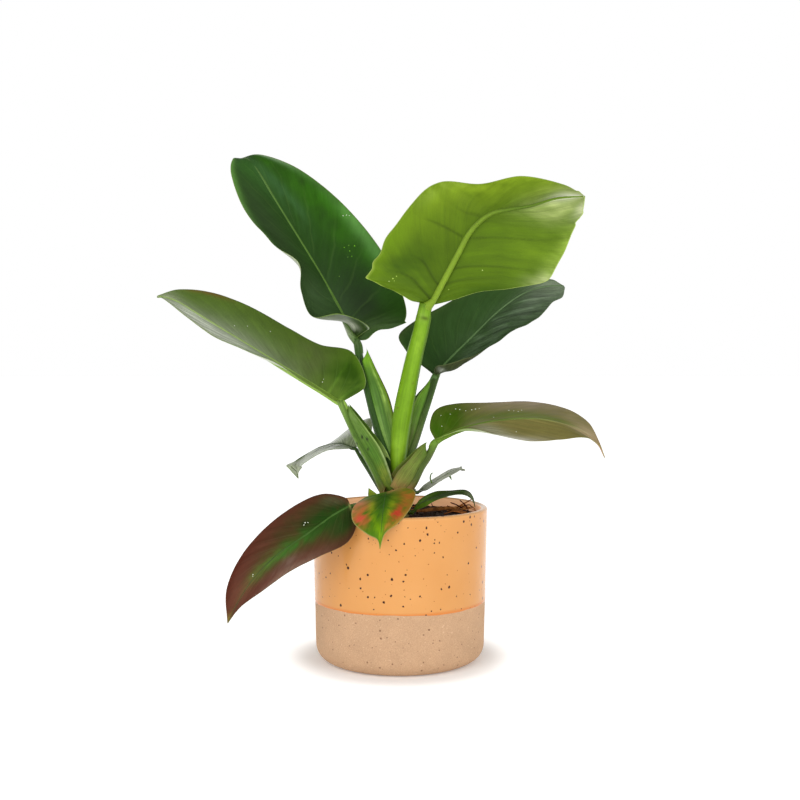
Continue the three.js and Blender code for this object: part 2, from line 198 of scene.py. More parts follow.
def piece(name, skins, materials, nodes=()):
    """One object from its skins, smooth shaded, riding on the part. It carries the colour "tone" with the
    streaks' strength in its alpha, the distance to the margin "edge" in millimetres, and the map "chart",
    which follows the surface."""
    def whole(part):
        return np.concatenate([one[part] for one in skins])

    def fill(layer, field, values):
        layer.data.foreach_set(field, values.astype(np.float32).ravel())

    starts = np.cumsum([0] + [len(one["points"]) for one in skins]).tolist()
    faces = [[k + start for k in face] for one, start in zip(skins, starts) for face in one["faces"]]
    mesh = bpy.data.meshes.new(name)
    mesh.from_pydata((whole("points") * MM).tolist(), [], faces)
    fill(mesh.attributes.new("tone", "FLOAT_COLOR", "POINT"), "color", whole("tone"))
    fill(mesh.attributes.new("edge", "FLOAT", "POINT"), "value", whole("edge"))
    corners = np.zeros(len(mesh.loops), np.int32)
    mesh.loops.foreach_get("vertex_index", corners)
    fill(mesh.uv_layers.new(name="chart"), "uv", whole("chart")[corners])
    for material in materials:
        mesh.materials.append(material)
    mesh.polygons.foreach_set("material_index", whole("materials").astype(np.int32))
    mesh.polygons.foreach_set("use_smooth", np.ones(len(mesh.polygons), bool))
    mesh.update()
    made = bpy.data.objects.new(name, mesh)
    bpy.context.scene.collection.objects.link(made)
    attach(made, BODY)
    if nodes:
        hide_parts(*nodes)
    return made


def tube(points, radius, sides=14, steps=60, lumpiness=0.0, seed=0, **look):
    """Round tube along the curve through the points. radius is a list of radii along it, and lumpiness a
    share."""
    u = np.linspace(0, 1, steps + 1)
    path = spline(points, u)
    ahead = unit(np.gradient(path, axis=0))
    side = unit(np.cross(ahead, [0.31, 0.17, 0.94]))
    up = np.cross(side, ahead)
    turn = turns(sides)
    r = spline(radius, u)[:, None]
    offset = side[:, None] * np.sin(turn)[:, None] + up[:, None] * np.cos(turn)[:, None]
    rings = path[:, None] + offset * r[..., None]
    r = r * (1 + lumpiness * lumps(rings, 2.5, seed))
    rings = path[:, None] + offset * r[..., None]
    return skin(rings, path[0], path[-1], chart=pairs(u[:, None], turn / (2 * np.pi)), **look)


# Shader wiring

class Wiring:
    """Places and joins the nodes of one material or group. An input may be a number, a colour or a socket."""

    def __init__(self, tree):
        self.tree = tree

    def node(self, kind, inputs=None, **settings):
        made = self.tree.nodes.new(kind)
        for name, value in settings.items():
            setattr(made, name, value)
        for name, value in (inputs or {}).items():
            self.put(made.inputs[name], value)
        return made

    def put(self, socket, value):
        if isinstance(value, bpy.types.NodeSocket):
            self.tree.links.new(value, socket)
        else:
            socket.default_value = value

    def math(self, operation, a, b=0.0):
        return self.node("ShaderNodeMath", {0: a, 1: b}, operation=operation).outputs[0]

    def plus(self, a, b):
        return self.math("ADD", a, b)

    def minus(self, a, b):
        return self.math("SUBTRACT", a, b)

    def times(self, a, b):
        return self.math("MULTIPLY", a, b)

    def mix(self, share, a, b):
        """From the colour a, at share 0, to the colour b, at share 1."""
        return self.node("ShaderNodeMix", {"Factor": share, 6: a, 7: b}, data_type="RGBA").outputs[2]

    def between(self, value, low, high, to_low=0.0, to_high=1.0):
        """value carried smoothly from low..high to to_low..to_high, and held outside."""
        inputs = {"Value": value, "From Min": low, "From Max": high, "To Min": to_low, "To Max": to_high}
        return self.node("ShaderNodeMapRange", inputs, interpolation_type="SMOOTHSTEP").outputs["Result"]

    def scaled(self, vector, factors):
        return self.node("ShaderNodeVectorMath", {0: vector, 1: factors}, operation="MULTIPLY").outputs[0]

    def length(self, vector):
        return self.node("ShaderNodeVectorMath", {0: vector}, operation="LENGTH").outputs["Value"]

    def noise(self, vector, scale, detail=2.0, roughness=0.5):
        inputs = {"Vector": vector, "Scale": scale, "Detail": detail, "Roughness": roughness}
        return self.node("ShaderNodeTexNoise", inputs).outputs["Fac"]

    def shade(self, color, amount):
        """A colour made lighter or darker: multiplied by the amount."""
        return self.node("ShaderNodeVectorMath", {0: color, "Scale": amount}, operation="SCALE").outputs[0]

    def group(self, tree, inputs):
        return self.node("ShaderNodeGroup", inputs, node_tree=tree).outputs

    def place(self, kind="Object"):
        return self.node("ShaderNodeTexCoord").outputs[kind]

    def parts(self, vector):
        return self.node("ShaderNodeSeparateXYZ", {0: vector}).outputs

    def attribute(self, name, output="Color"):
        return self.node("ShaderNodeAttribute", attribute_name=name).outputs[output]


def shader_group(name, inputs, outputs):
    """Empty node group with named sockets. Returns its wiring, its input sockets and a call that sets its
    outputs."""
    tree = bpy.data.node_groups.new(name, "ShaderNodeTree")
    kinds = {"value": "NodeSocketFloat", "color": "NodeSocketColor", "vector": "NodeSocketVector"}
    for way, sockets in (("INPUT", inputs), ("OUTPUT", outputs)):
        for label, kind in sockets.items():
            tree.interface.new_socket(name=label, in_out=way, socket_type=kinds[kind])
    wiring = Wiring(tree)
    given = tree.nodes.new("NodeGroupInput").outputs
    result = tree.nodes.new("NodeGroupOutput").inputs

    def give(**values):
        for label, value in values.items():
            wiring.put(result[label], value)

    return wiring, given, give


def spots_group():
    """Round spots scattered in space: Mask is 1 inside a spot. Spacing and Radius are in metres, and each
    spot has its own radius between 0.35 and 1 of Radius."""
    inputs = {"Position": "vector", "Spacing": "value", "Radius": "value"}
    w, given, give = shader_group("spots", inputs, {"Mask": "value"})
    ragged = w.node("ShaderNodeTexNoise", {"Vector": given["Position"], "Scale": 900.0, "Detail": 1.0})
    bent = {0: ragged.outputs["Color"], 1: (0.0009,) * 3, 2: given["Position"]}
    bent = w.node("ShaderNodeVectorMath", bent, operation="MULTIPLY_ADD").outputs[0]
    cells = w.node("ShaderNodeTexVoronoi", {"Vector": bent, "Scale": w.math("DIVIDE", 1.0, given["Spacing"])})
    distance = w.times(cells.outputs["Distance"], given["Spacing"])
    draw = w.node("ShaderNodeSeparateColor", {"Color": cells.outputs["Color"]}).outputs[0]
    radius = w.times(given["Radius"], w.between(draw, 0.0, 1.0, 0.35, 1.0))
    give(Mask=w.between(w.math("DIVIDE", distance, radius), 0.85, 1.0, 1.0, 0.0))
    return w.tree


def grain_group():
    """Fine and coarse mottling together, both -0.5..0.5 about nothing: Value for colour and Height for
    bump."""
    inputs = {"Position": "vector", "Coarse Scale": "value", "Fine Scale": "value"}
    w, given, give = shader_group("grain", inputs, {"Value": "value", "Height": "value"})
    coarse = w.minus(w.noise(given["Position"], given["Coarse Scale"], 3.0), 0.5)
    fine = w.minus(w.noise(given["Position"], given["Fine Scale"], 4.0, 0.65), 0.5)
    give(Value=w.plus(coarse, w.times(fine, 0.7)), Height=fine)
    return w.tree


def leaf_face_group():
    """Colour, roughness and height of one face of a blade. The chart's first part is constant along each side
    vein and its second is -1 at the left margin, 0 at the midrib and 1 at the right margin. A side vein is
    drawn where the fraction of chart * Veins is close to 0.5, and fine streaks run along the veins between
    them."""
    inputs = {"Tone": "color", "Chart": "vector", "Edge": "value", "Position": "vector", "Veins": "value",
              "Vein Color": "color", "Vein Strength": "value", "Streaks": "value", "Mottle": "value",
              "Rim Color": "color", "Sheen": "value"}
    outputs = {"Color": "color", "Roughness": "value", "Height": "value"}
    w, given, give = shader_group("leaf face", inputs, outputs)
    chart = w.parts(given["Chart"])
    off = w.math("ABSOLUTE", chart[1])
    wander = w.times(w.minus(w.noise(given["Position"], 45.0), 0.5), 0.5)
    phase = w.math("FRACT", w.plus(w.times(chart[0], given["Veins"]), wander))
    gap = w.math("ABSOLUTE", w.minus(phase, 0.5))
    line = w.between(gap, 0.01, 0.075, 1.0, 0.0)
    line = w.times(line, w.between(off, 0.02, 0.12))
    line = w.times(line, w.between(off, 0.35, 0.95, 1.0, 0.12))
    # Painted shade: beside each side vein the colour is darkened a little, as shade in the vein's groove.
    vein_groove_shade = w.between(gap, 0.0, 0.3, 1.0, 0.0)
    broad = w.minus(w.noise(w.scaled(given["Chart"], (42.0, 2.2, 0.0)), 1.0, 3.0, 0.6), 0.5)
    thin = w.minus(w.noise(w.scaled(given["Chart"], (150.0, 3.0, 0.0)), 1.0, 3.0, 0.6), 0.5)
    streak = w.plus(broad, w.times(thin, 0.8))
    grain = w.group(GRAIN, {"Position": given["Position"], "Coarse Scale": 70.0, "Fine Scale": 900.0})
    change = w.plus(w.times(streak, given["Streaks"]), w.times(grain["Value"], given["Mottle"]))
    change = w.minus(w.plus(change, 1.0), w.times(vein_groove_shade, 0.06))
    color = w.shade(given["Tone"], change)
    color = w.mix(w.times(line, given["Vein Strength"]), color, given["Vein Color"])
    rim = w.between(given["Edge"], 0.25, 0.8, 0.75, 0.0)
    color = w.mix(rim, color, given["Rim Color"])
    rough = w.plus(given["Sheen"], w.times(streak, 0.25))
    rough = w.plus(rough, w.times(grain["Value"], 0.12))
    height = w.plus(w.times(streak, 0.7), w.times(grain["Height"], 0.25))
    give(Color=color, Roughness=rough, Height=w.minus(height, w.times(line, 0.35)))
    return w.tree


SPOTS = spots_group()
GRAIN = grain_group()
LEAF_FACE = leaf_face_group()


def new_material(name):
    """Material with a Principled BSDF. Returns it, its wiring and the shader's node."""
    material = bpy.data.materials.new(name)
    material.use_nodes = True
    wiring = Wiring(material.node_tree)
    return material, wiring, material.node_tree.nodes["Principled BSDF"]


def finish_shader(wiring, shader, color, roughness, height, depth, specular=0.5):
    """Colour, roughness, gloss and bump of a material. depth is the bump's height in metres."""
    bump = wiring.node("ShaderNodeBump", {"Height": height, "Distance": depth, "Strength": 1.0}).outputs[0]
    inputs = {"Base Color": color, "Roughness": roughness, "Specular IOR Level": specular, "Normal": bump}
    for name, value in inputs.items():
        wiring.put(shader.inputs[name], value)


def rgba(color):
    return (*light(color).tolist(), 1.0)


def spotted(w, color, place, spacing, radius, share, tint):
    """The colour with a share of a tint mixed in at round spots. Returns it and the spots' mask."""
    mask = w.group(SPOTS, {"Position": place, "Spacing": spacing, "Radius": radius})["Mask"]
    return w.mix(w.times(mask, share), color, rgba(tint)), mask


def leaf_face(name, veins, vein=(110, 145, 70), vein_strength=0.13, rim=(120, 140, 70), sheen=0.38,
              specular=0.09):
    """One face of a blade: the airbrushed tone with side veins, streaks, mottling and a thin rim."""
    material, w, shader = new_material(name)
    face = w.group(LEAF_FACE, {
        "Tone": w.attribute("tone"), "Streaks": w.attribute("tone", "Alpha"), "Mottle": 0.3,
        "Chart": w.attribute("chart", "Vector"), "Edge": w.attribute("edge", "Fac"), "Position": w.place(),
        "Veins": veins, "Vein Color": rgba(vein), "Vein Strength": vein_strength, "Rim Color": rgba(rim),
        "Sheen": sheen})
    color, rough, height = [face[name] for name in ("Color", "Roughness", "Height")]
    finish_shader(w, shader, color, rough, height, depth=0.00014, specular=specular)
    return material


def stalk_material(name):
    """Skin of a stalk or midrib: the airbrushed tone with fine lines along it."""
    material, w, shader = new_material(name)
    along = w.scaled(w.attribute("chart", "Vector"), (2.5, 12.0, 0.0))
    streak = w.minus(w.noise(along, 1.0, 4.0, 0.7), 0.5)
    grain = w.group(GRAIN, {"Position": w.place(), "Coarse Scale": 140.0, "Fine Scale": 1100.0})
    lines = w.times(streak, w.times(w.attribute("tone", "Alpha"), 1.5))
    change = w.plus(lines, w.times(grain["Value"], 0.35))
    color = w.shade(w.attribute("tone"), w.plus(change, 1.0))
    rough = w.plus(0.4, w.times(streak, 0.2))
    height = w.plus(streak, w.times(grain["Height"], 0.3))
    finish_shader(w, shader, color, rough, height, depth=0.0002, specular=0.12)
    return material


def glaze_material():
    """Glossy peach glaze with iron specks, a little uneven, darker where it is thick above its lower edge,
    and with painted light on the inside of the wall: a lighter colour and a faint glow there."""
    material, w, shader = new_material("peach glaze")
    place = w.place()
    height = w.parts(place)[2]
    color = w.mix(w.noise(place, 25.0), rgba((206, 142, 76)), rgba((216, 156, 92)))
    bead = w.between(height, (GLAZE_LINE + 0.6) * MM, (GLAZE_LINE + 3.0) * MM, 1.0, 0.0)
    color = w.mix(w.times(bead, 0.6), color, rgba((206, 108, 34)))
    lip = w.between(height, (POT_HEIGHT - 3) * MM, (POT_HEIGHT - 0.4) * MM)
    color = w.mix(w.times(lip, 0.35), color, rgba((236, 184, 130)))
    out = w.length(w.scaled(place, (1.0, 1.0, 0.0)))
    # Painted light: the inside of the wall is made lighter, where it lies in shade.
    inside = w.between(out, (RIM_RADIUS - WALL) * MM, (RIM_RADIUS - WALL + 1) * MM)
    color = w.mix(inside, rgba((255, 200, 146)), color)
    color, _ = spotted(w, color, place, 0.0046, 0.0006, 0.7, (150, 80, 36))
    color, bold = spotted(w, color, w.scaled(place, (1.0, 1.0, 0.85)), 0.0056, 0.00112, 1.0, (50, 6, 0))
    rough = w.between(bold, 0.0, 1.0, 0.15, 0.35)
    finish_shader(w, shader, color, rough, w.noise(place, 60.0), depth=0.0004, specular=0.24)
    # Painted light: the inside of the wall glows a little though it is no lamp.
    w.put(shader.inputs["Emission Color"], w.mix(inside, rgba((255, 190, 150)), rgba((0, 0, 0))))
    shader.inputs["Emission Strength"].default_value = 0.28
    return material


def clay_material():
    """Bare sand-coloured stoneware: matt, with a sandy grain, pale grits and dark pits."""
    material, w, shader = new_material("bare clay")
    place = w.place()
    grain = w.group(GRAIN, {"Position": place, "Coarse Scale": 60.0, "Fine Scale": 1500.0})
    sand = w.between(w.noise(place, 1200.0, 3.0, 0.7), 0.2, 0.8)
    color = w.shade(w.mix(sand, rgba((184, 146, 112)), rgba((208, 171, 136))),
                    w.plus(1.0, w.times(grain["Value"], 0.22)))
    color, dark = spotted(w, color, place, 0.0046, 0.0008, 0.75, (112, 72, 46))
    color, _ = spotted(w, color, w.scaled(place, (1.0, -1.0, 1.0)), 0.0034, 0.0006, 0.3, (244, 216, 182))
    height = w.minus(grain["Height"], w.times(dark, 0.5))
    finish_shader(w, shader, color, 0.86, height, depth=0.0005, specular=0.25)
    return material


def earthy_material(name, dark, pale, coarse=180.0):
    """Rough natural surface, mottled between two colours, for soil, roots, dry sheaths and bark."""
    material, w, shader = new_material(name)
    grain = w.group(GRAIN, {"Position": w.place(), "Coarse Scale": coarse, "Fine Scale": 1400.0})
    color = w.mix(w.between(grain["Value"], -0.3, 0.35), rgba(dark), rgba(pale))
    height = w.plus(grain["Value"], grain["Height"])
    finish_shader(w, shader, color, 0.85, height, depth=0.0008, specular=0.3)
    return material


def dew_material():
    """Small glossy drops and pale flecks on the leaves; the pale tone also paints the drops' glints."""
    material, w, shader = new_material("dew")
    color = w.shade(w.attribute("tone"), w.between(w.noise(w.place(), 900.0), 0.3, 0.7, 0.85, 1.1))
    rough = w.between(w.noise(w.place(), 300.0), 0.3, 0.7, 0.08, 0.2)
    finish_shader(w, shader, color, rough, height=0.0, depth=0.0001)
    return material


# Blades

class Blade:
    """The upper face of a blade and what grows on it, at shares u from stalk to tip and sides from -1, the
    left margin seen from above with the tip away, through 0, the midrib, to 1, the right margin."""

    def __init__(self, leaf):
        self.leaf = leaf
        first, *_, last = leaf["mid"]
        self.margins = [[first, *leaf[half], last] for half in ("left", "right")]
        self.bulge = leaf.get("bulge", ([0, 0], [0, 0]))
        self.sweep = leaf.get("sweep", 0.22)

    def vein(self, u, side):
        """The share that stays the same along a side vein: u - sweep * |side|^0.6."""
        return u - self.sweep * np.abs(side) ** 0.6

    def flat(self, u, side):
        """Point on the rib of share u: midrib(u^fan) + (margin(u) - midrib(u^fan)) * |side| + up * bulge(u) *
        4 |side| (1 - |side|), where up stands square on the rib and the midrib. Near the share of a pull, the
        margin is moved by its shift * exp(-((u - at) / reach)^2)."""
        mid, share, step = self.leaf["mid"], u ** BLADE_FAN, 0.02
        root = spline(mid, share)
        ahead = unit(spline(mid, np.minimum(share + step, 1)) - spline(mid, np.maximum(share - step, 0)))
        right = (side >= 0)[..., None]
        across = np.where(right, spline(self.margins[1], u), spline(self.margins[0], u)) - root
        for half, at, reach, shift in self.leaf.get("pulls", []):
            near = np.exp(-((u - at) / reach) ** 2) * (half * side > 0)
            across = across + near[..., None] * np.array(shift) * np.abs(side)[..., None]
        up = unit(np.cross(across, ahead)) * np.where(right, 1, -1)
        bulge = np.where(side >= 0, spline(self.bulge[1], u), spline(self.bulge[0], u))
        v = np.abs(side)[..., None]
        return root + across * v + up * bulge[..., None] * 4 * v * (1 - v)

    def normal(self, u, side):
        """Across times ahead, from points a small step to each side."""
        u = np.clip(u, 0.03, 0.97)
        step = 0.012
        ahead = self.flat(u + step, side) - self.flat(u - step, side)
        low, high = np.clip(side - step, -1, 1), np.clip(side + step, -1, 1)
        return unit(np.cross(self.flat(u, high) - self.flat(u, low), ahead))

    def crease(self, u, side):
        """Depth and painted shade of the creases: for each, exp(-(distance / width)^2) from its curve, fading
        towards its far end as 1 - t^3. A positive shade paints shade into the crease, a negative one lightens
        the line. The curves of one entry pass through the same sides, each at its own shares u."""
        at = self.flat(u, side)
        total = np.zeros((2,) + at.shape[:-1])
        t = np.linspace(0, 1, 30)
        for sides, width, deep, shade, *paths in self.leaf.get("creases", []):
            for shares in paths:
                line = self.flat(spline(shares, t), spline(sides, t))
                away = np.linalg.norm(at[..., None, :] - line, axis=-1)
                near = (np.exp(-(away / width) ** 2) * (1 - t ** 3)).max(-1)
                total += np.stack([deep * near, shade * near])
        return total

    def relief(self, u, side):
        """Height over the smooth face: soft pillows between the side veins, height * (|sin(pi veins w)| -
        0.6), waves along the margin, swing * |side|^3 * sin(6 pi u), less the creases. All fade out at the
        ends."""
        leaf = self.leaf
        which = (side >= 0).astype(int)
        v = np.abs(side)
        height = np.array(leaf["pillow"])[which]
        pillow = np.abs(np.sin(np.pi * leaf["veins"] * self.vein(u, side))) - 0.6
        swing = np.array(leaf.get("swing", (0, 0)))[which]
        waves = np.sin(6 * np.pi * u)
        ends = smooth(u, 0.02, 0.15) * smooth(1 - u, 0.0, 0.12)
        soft = height * pillow * smooth(v, 0.03, 0.2) * (1 - 0.6 * v ** 4) + swing * v ** 3 * waves
        return ends * soft - self.crease(u, side)[0] * 0.5

    def point(self, u, side):
        """Point on the finished upper face."""
        return self.flat(u, side) + self.normal(u, side) * self.relief(u, side)[..., None]

    def skins(self, rows, cols):
        """The blade as a closed skin: across the upper face, round the margin and back under it. The columns
        crowd towards the midrib as |side|^1.6."""
        leaf = self.leaf
        u = np.linspace(0, 1, rows + 1)[1:-1, None] + np.zeros(2 * cols + 1)
        even = np.linspace(-1, 1, 2 * cols + 1)
        side = np.sign(even) * np.abs(even) ** 1.6 + np.zeros((rows - 1, 1))
        upper, normal = self.point(u, side), self.normal(u, side)
        thickness = BLADE_THICKNESS * (1 - 0.6 * np.abs(side) ** 8)
        under = upper - normal * thickness[..., None]
        root = self.flat(u, side * 0)
        margin = self.flat(u, np.where(side >= 0, 1.0, -1.0))
        edge = np.minimum(np.linalg.norm(margin - root, axis=-1) * (1 - np.abs(side)), EDGE_REACH)
        chart = pairs(self.vein(u, side), side)

        def round_ring(top, bottom):
            return np.concatenate([top, bottom[:, ::-1]], 1)

        strips = np.concatenate([np.zeros(2 * cols, int), np.ones(2 * cols + 2, int)])
        tone = round_ring(*[airbrush(pairs(u, side), *leaf[face]) for face in ("upper", "under")])
        # Painted shade: the creases darken the tone of both faces (a negative shade lightens it).
        dark = self.crease(u, side)[1][..., None]
        tone[..., :3] *= 1 - round_ring(dark, dark)
        ends = spline(leaf["mid"], np.array([0.0, 1.0])) - unit(normal[[0, -1], cols]) * BLADE_THICKNESS / 2
        return [skin(round_ring(upper, under), *ends, chart=round_ring(chart, chart), tone=tone,
                     edge=round_ring(edge, edge), materials=strips)]

    def midrib(self):
        """Raised midrib: an ellipse carried from inside the stalk's end along the midrib to the tip, sunk
        into the blade so that only its crown stands over the upper face."""
        leaf = self.leaf
        share = np.array([0.03, 0.08, 0.15, 0.25, 0.37, 0.5, 0.63, 0.76, 0.88, 0.99])
        u = share ** (1 / BLADE_FAN)
        up = self.normal(u, u * 0)
        widths, depths = [spline(sizes, share) for sizes in leaf["rib"]]
        centre = self.flat(u, u * 0) + up * (leaf.get("crown", 0.3) - depths)[:, None]
        back, wing, half, body = [spline(leaf[key], [0.88, 0.96]) for key in ("back", "wing", "half", "body")]
        deep = np.minimum(np.linalg.norm(wing - back, axis=-1), body) / 2
        t = np.linspace(0, 1, MIDRIB_STEPS + 1)
        centre = spline(np.concatenate([back + unit(wing - back) * deep[:, None], centre]), t)
        up = spline(np.concatenate([unit(wing - back), up]), t)
        width = spline(np.concatenate([half * 0.9, widths]), t)
        depth = spline(np.concatenate([deep * 0.9, depths]), t)
        ahead = unit(np.gradient(centre, axis=0))
        right = unit(np.cross(ahead, up))
        up = np.cross(right, ahead)
        turn = turns(16)
        rings = (centre[:, None] + up[:, None] * (np.cos(turn) * depth[:, None])[..., None]
                 + right[:, None] * (np.sin(turn) * width[:, None])[..., None])
        tone = airbrush(pairs(t[:, None], np.abs(turn - np.pi) / np.pi), *leaf["rib_tone"])
        chart = pairs(t[:, None], turn / np.pi)
        return skin(rings, centre[0], centre[-1], chart=chart, tone=tone, materials=2)

    # The pale default tone is partly the flecks' own colour and partly a painted glint on the drops.
    def drop(self, u, side, radius, tone=(230, 236, 214)):
        """Low dome on the upper face, or on the under face if the radius is negative."""
        u, side = np.array([u]), np.array([side])
        up = self.normal(u, side)[0] * np.sign(radius)
        foot = self.point(u, side)[0] - (BLADE_THICKNESS * self.normal(u, side)[0] if radius < 0 else 0)
        right = unit(np.cross(up, [0.3, 0.2, 0.9]))
        ahead = np.cross(up, right)
        turn = turns(8)
        rise = np.array([-0.2, 0.15, 0.45])[:, None]
        wide = np.array([1.0, 0.95, 0.6])[:, None]
        rings = foot + abs(radius) * (up * rise[..., None] + right * (wide * np.cos(turn))[..., None]
                                      + ahead * (wide * np.sin(turn))[..., None])
        return skin(rings, tone=paint(tone), materials=3)


# Stalks

def stalk_skins(leaf):
    """The stalk's body and its two sheath wings. The body is carried between the stalk's back and its own
    depth behind the wing edges, with the section (depth / 2 (1 - cos a), half sin a). Each wing is a thin web
    from the body's flank to the wing edge, bowed outwards by bow * 4 w (1 - w), and it ends in a free pointed
    tip, where its root line runs out along it to meet its edge."""
    u = np.linspace(0, 1, STALK_STEPS + 1)
    back, wing, half, body = [spline(leaf[key], u) for key in ("back", "wing", "half", "body")]
    axis = unit(np.gradient((back + wing) / 2, axis=0))
    reach = np.linalg.norm(wing - back, axis=-1)
    inward = unit(wing - back)
    side = unit(np.cross(axis, inward))
    depth = np.minimum(reach, body)

    def place(rows, deep, wide):
        """Points at a depth from the back and a width to the side of it, on the given rows."""
        return back[rows, None] + inward[rows, None] * deep[..., None] + side[rows, None] * wide[..., None]

    every = np.arange(len(u))
    turn = turns(40)
    deep = depth[:, None] / 2 * (1 - np.cos(turn)) * (1 - 0.12 * smooth(-np.cos(turn), 0.3, 1))
    wide = half[:, None] * -np.sin(turn) * 0.97
    around = np.where(turn < np.pi, -turn, 2 * np.pi - turn) / np.pi
    chart = pairs(u[:, None], around)
    skins = [skin(place(every, deep, wide), chart=chart, tone=airbrush(chart, *leaf["stalk_tone"]))]
    free, tip = leaf.get("free", 0.06), leaf["tip"]
    rows = every[u <= tip]
    w = np.linspace(0, 1, 17)
    loose = smooth(u[rows], tip - free, tip)[:, None]
    for flank in (1, -1):
        root = np.stack([depth * 0.72, half * 0.84 * flank], -1)[rows]
        edge = np.stack([reach, half * 0.76 * flank], -1)[rows]
        root = root + (edge - root) * loose
        web = root[:, None] + (edge - root)[:, None] * w[:, None]
        bow = leaf.get("bow", 0.6) * 4 * w * (1 - w) * (1 - loose)
        thick = (1.3 + (0.35 - 1.3) * w) * (1 - 0.7 * loose)
        outer = place(rows, web[..., 0], web[..., 1] + bow * flank)
        inner = place(rows, web[..., 0], web[..., 1] + (bow - thick) * flank)
        rim = np.minimum(np.linalg.norm(edge - root, axis=-1)[:, None] * (1 - w), EDGE_REACH)
        hold = pairs(u[rows, None], flank * w)
        parts = [(outer, inner), (hold, hold), (rim, rim)]
        if flank == 1:
            parts = [(a[:, ::-1], b[:, ::-1]) for a, b in parts]
        ring, chart, rims = [np.concatenate([a, b[:, ::-1]], 1) for a, b in parts]
        skins.append(skin(ring, chart=chart, tone=airbrush(chart, *leaf["wing_tone"]), edge=rims))
    return skins
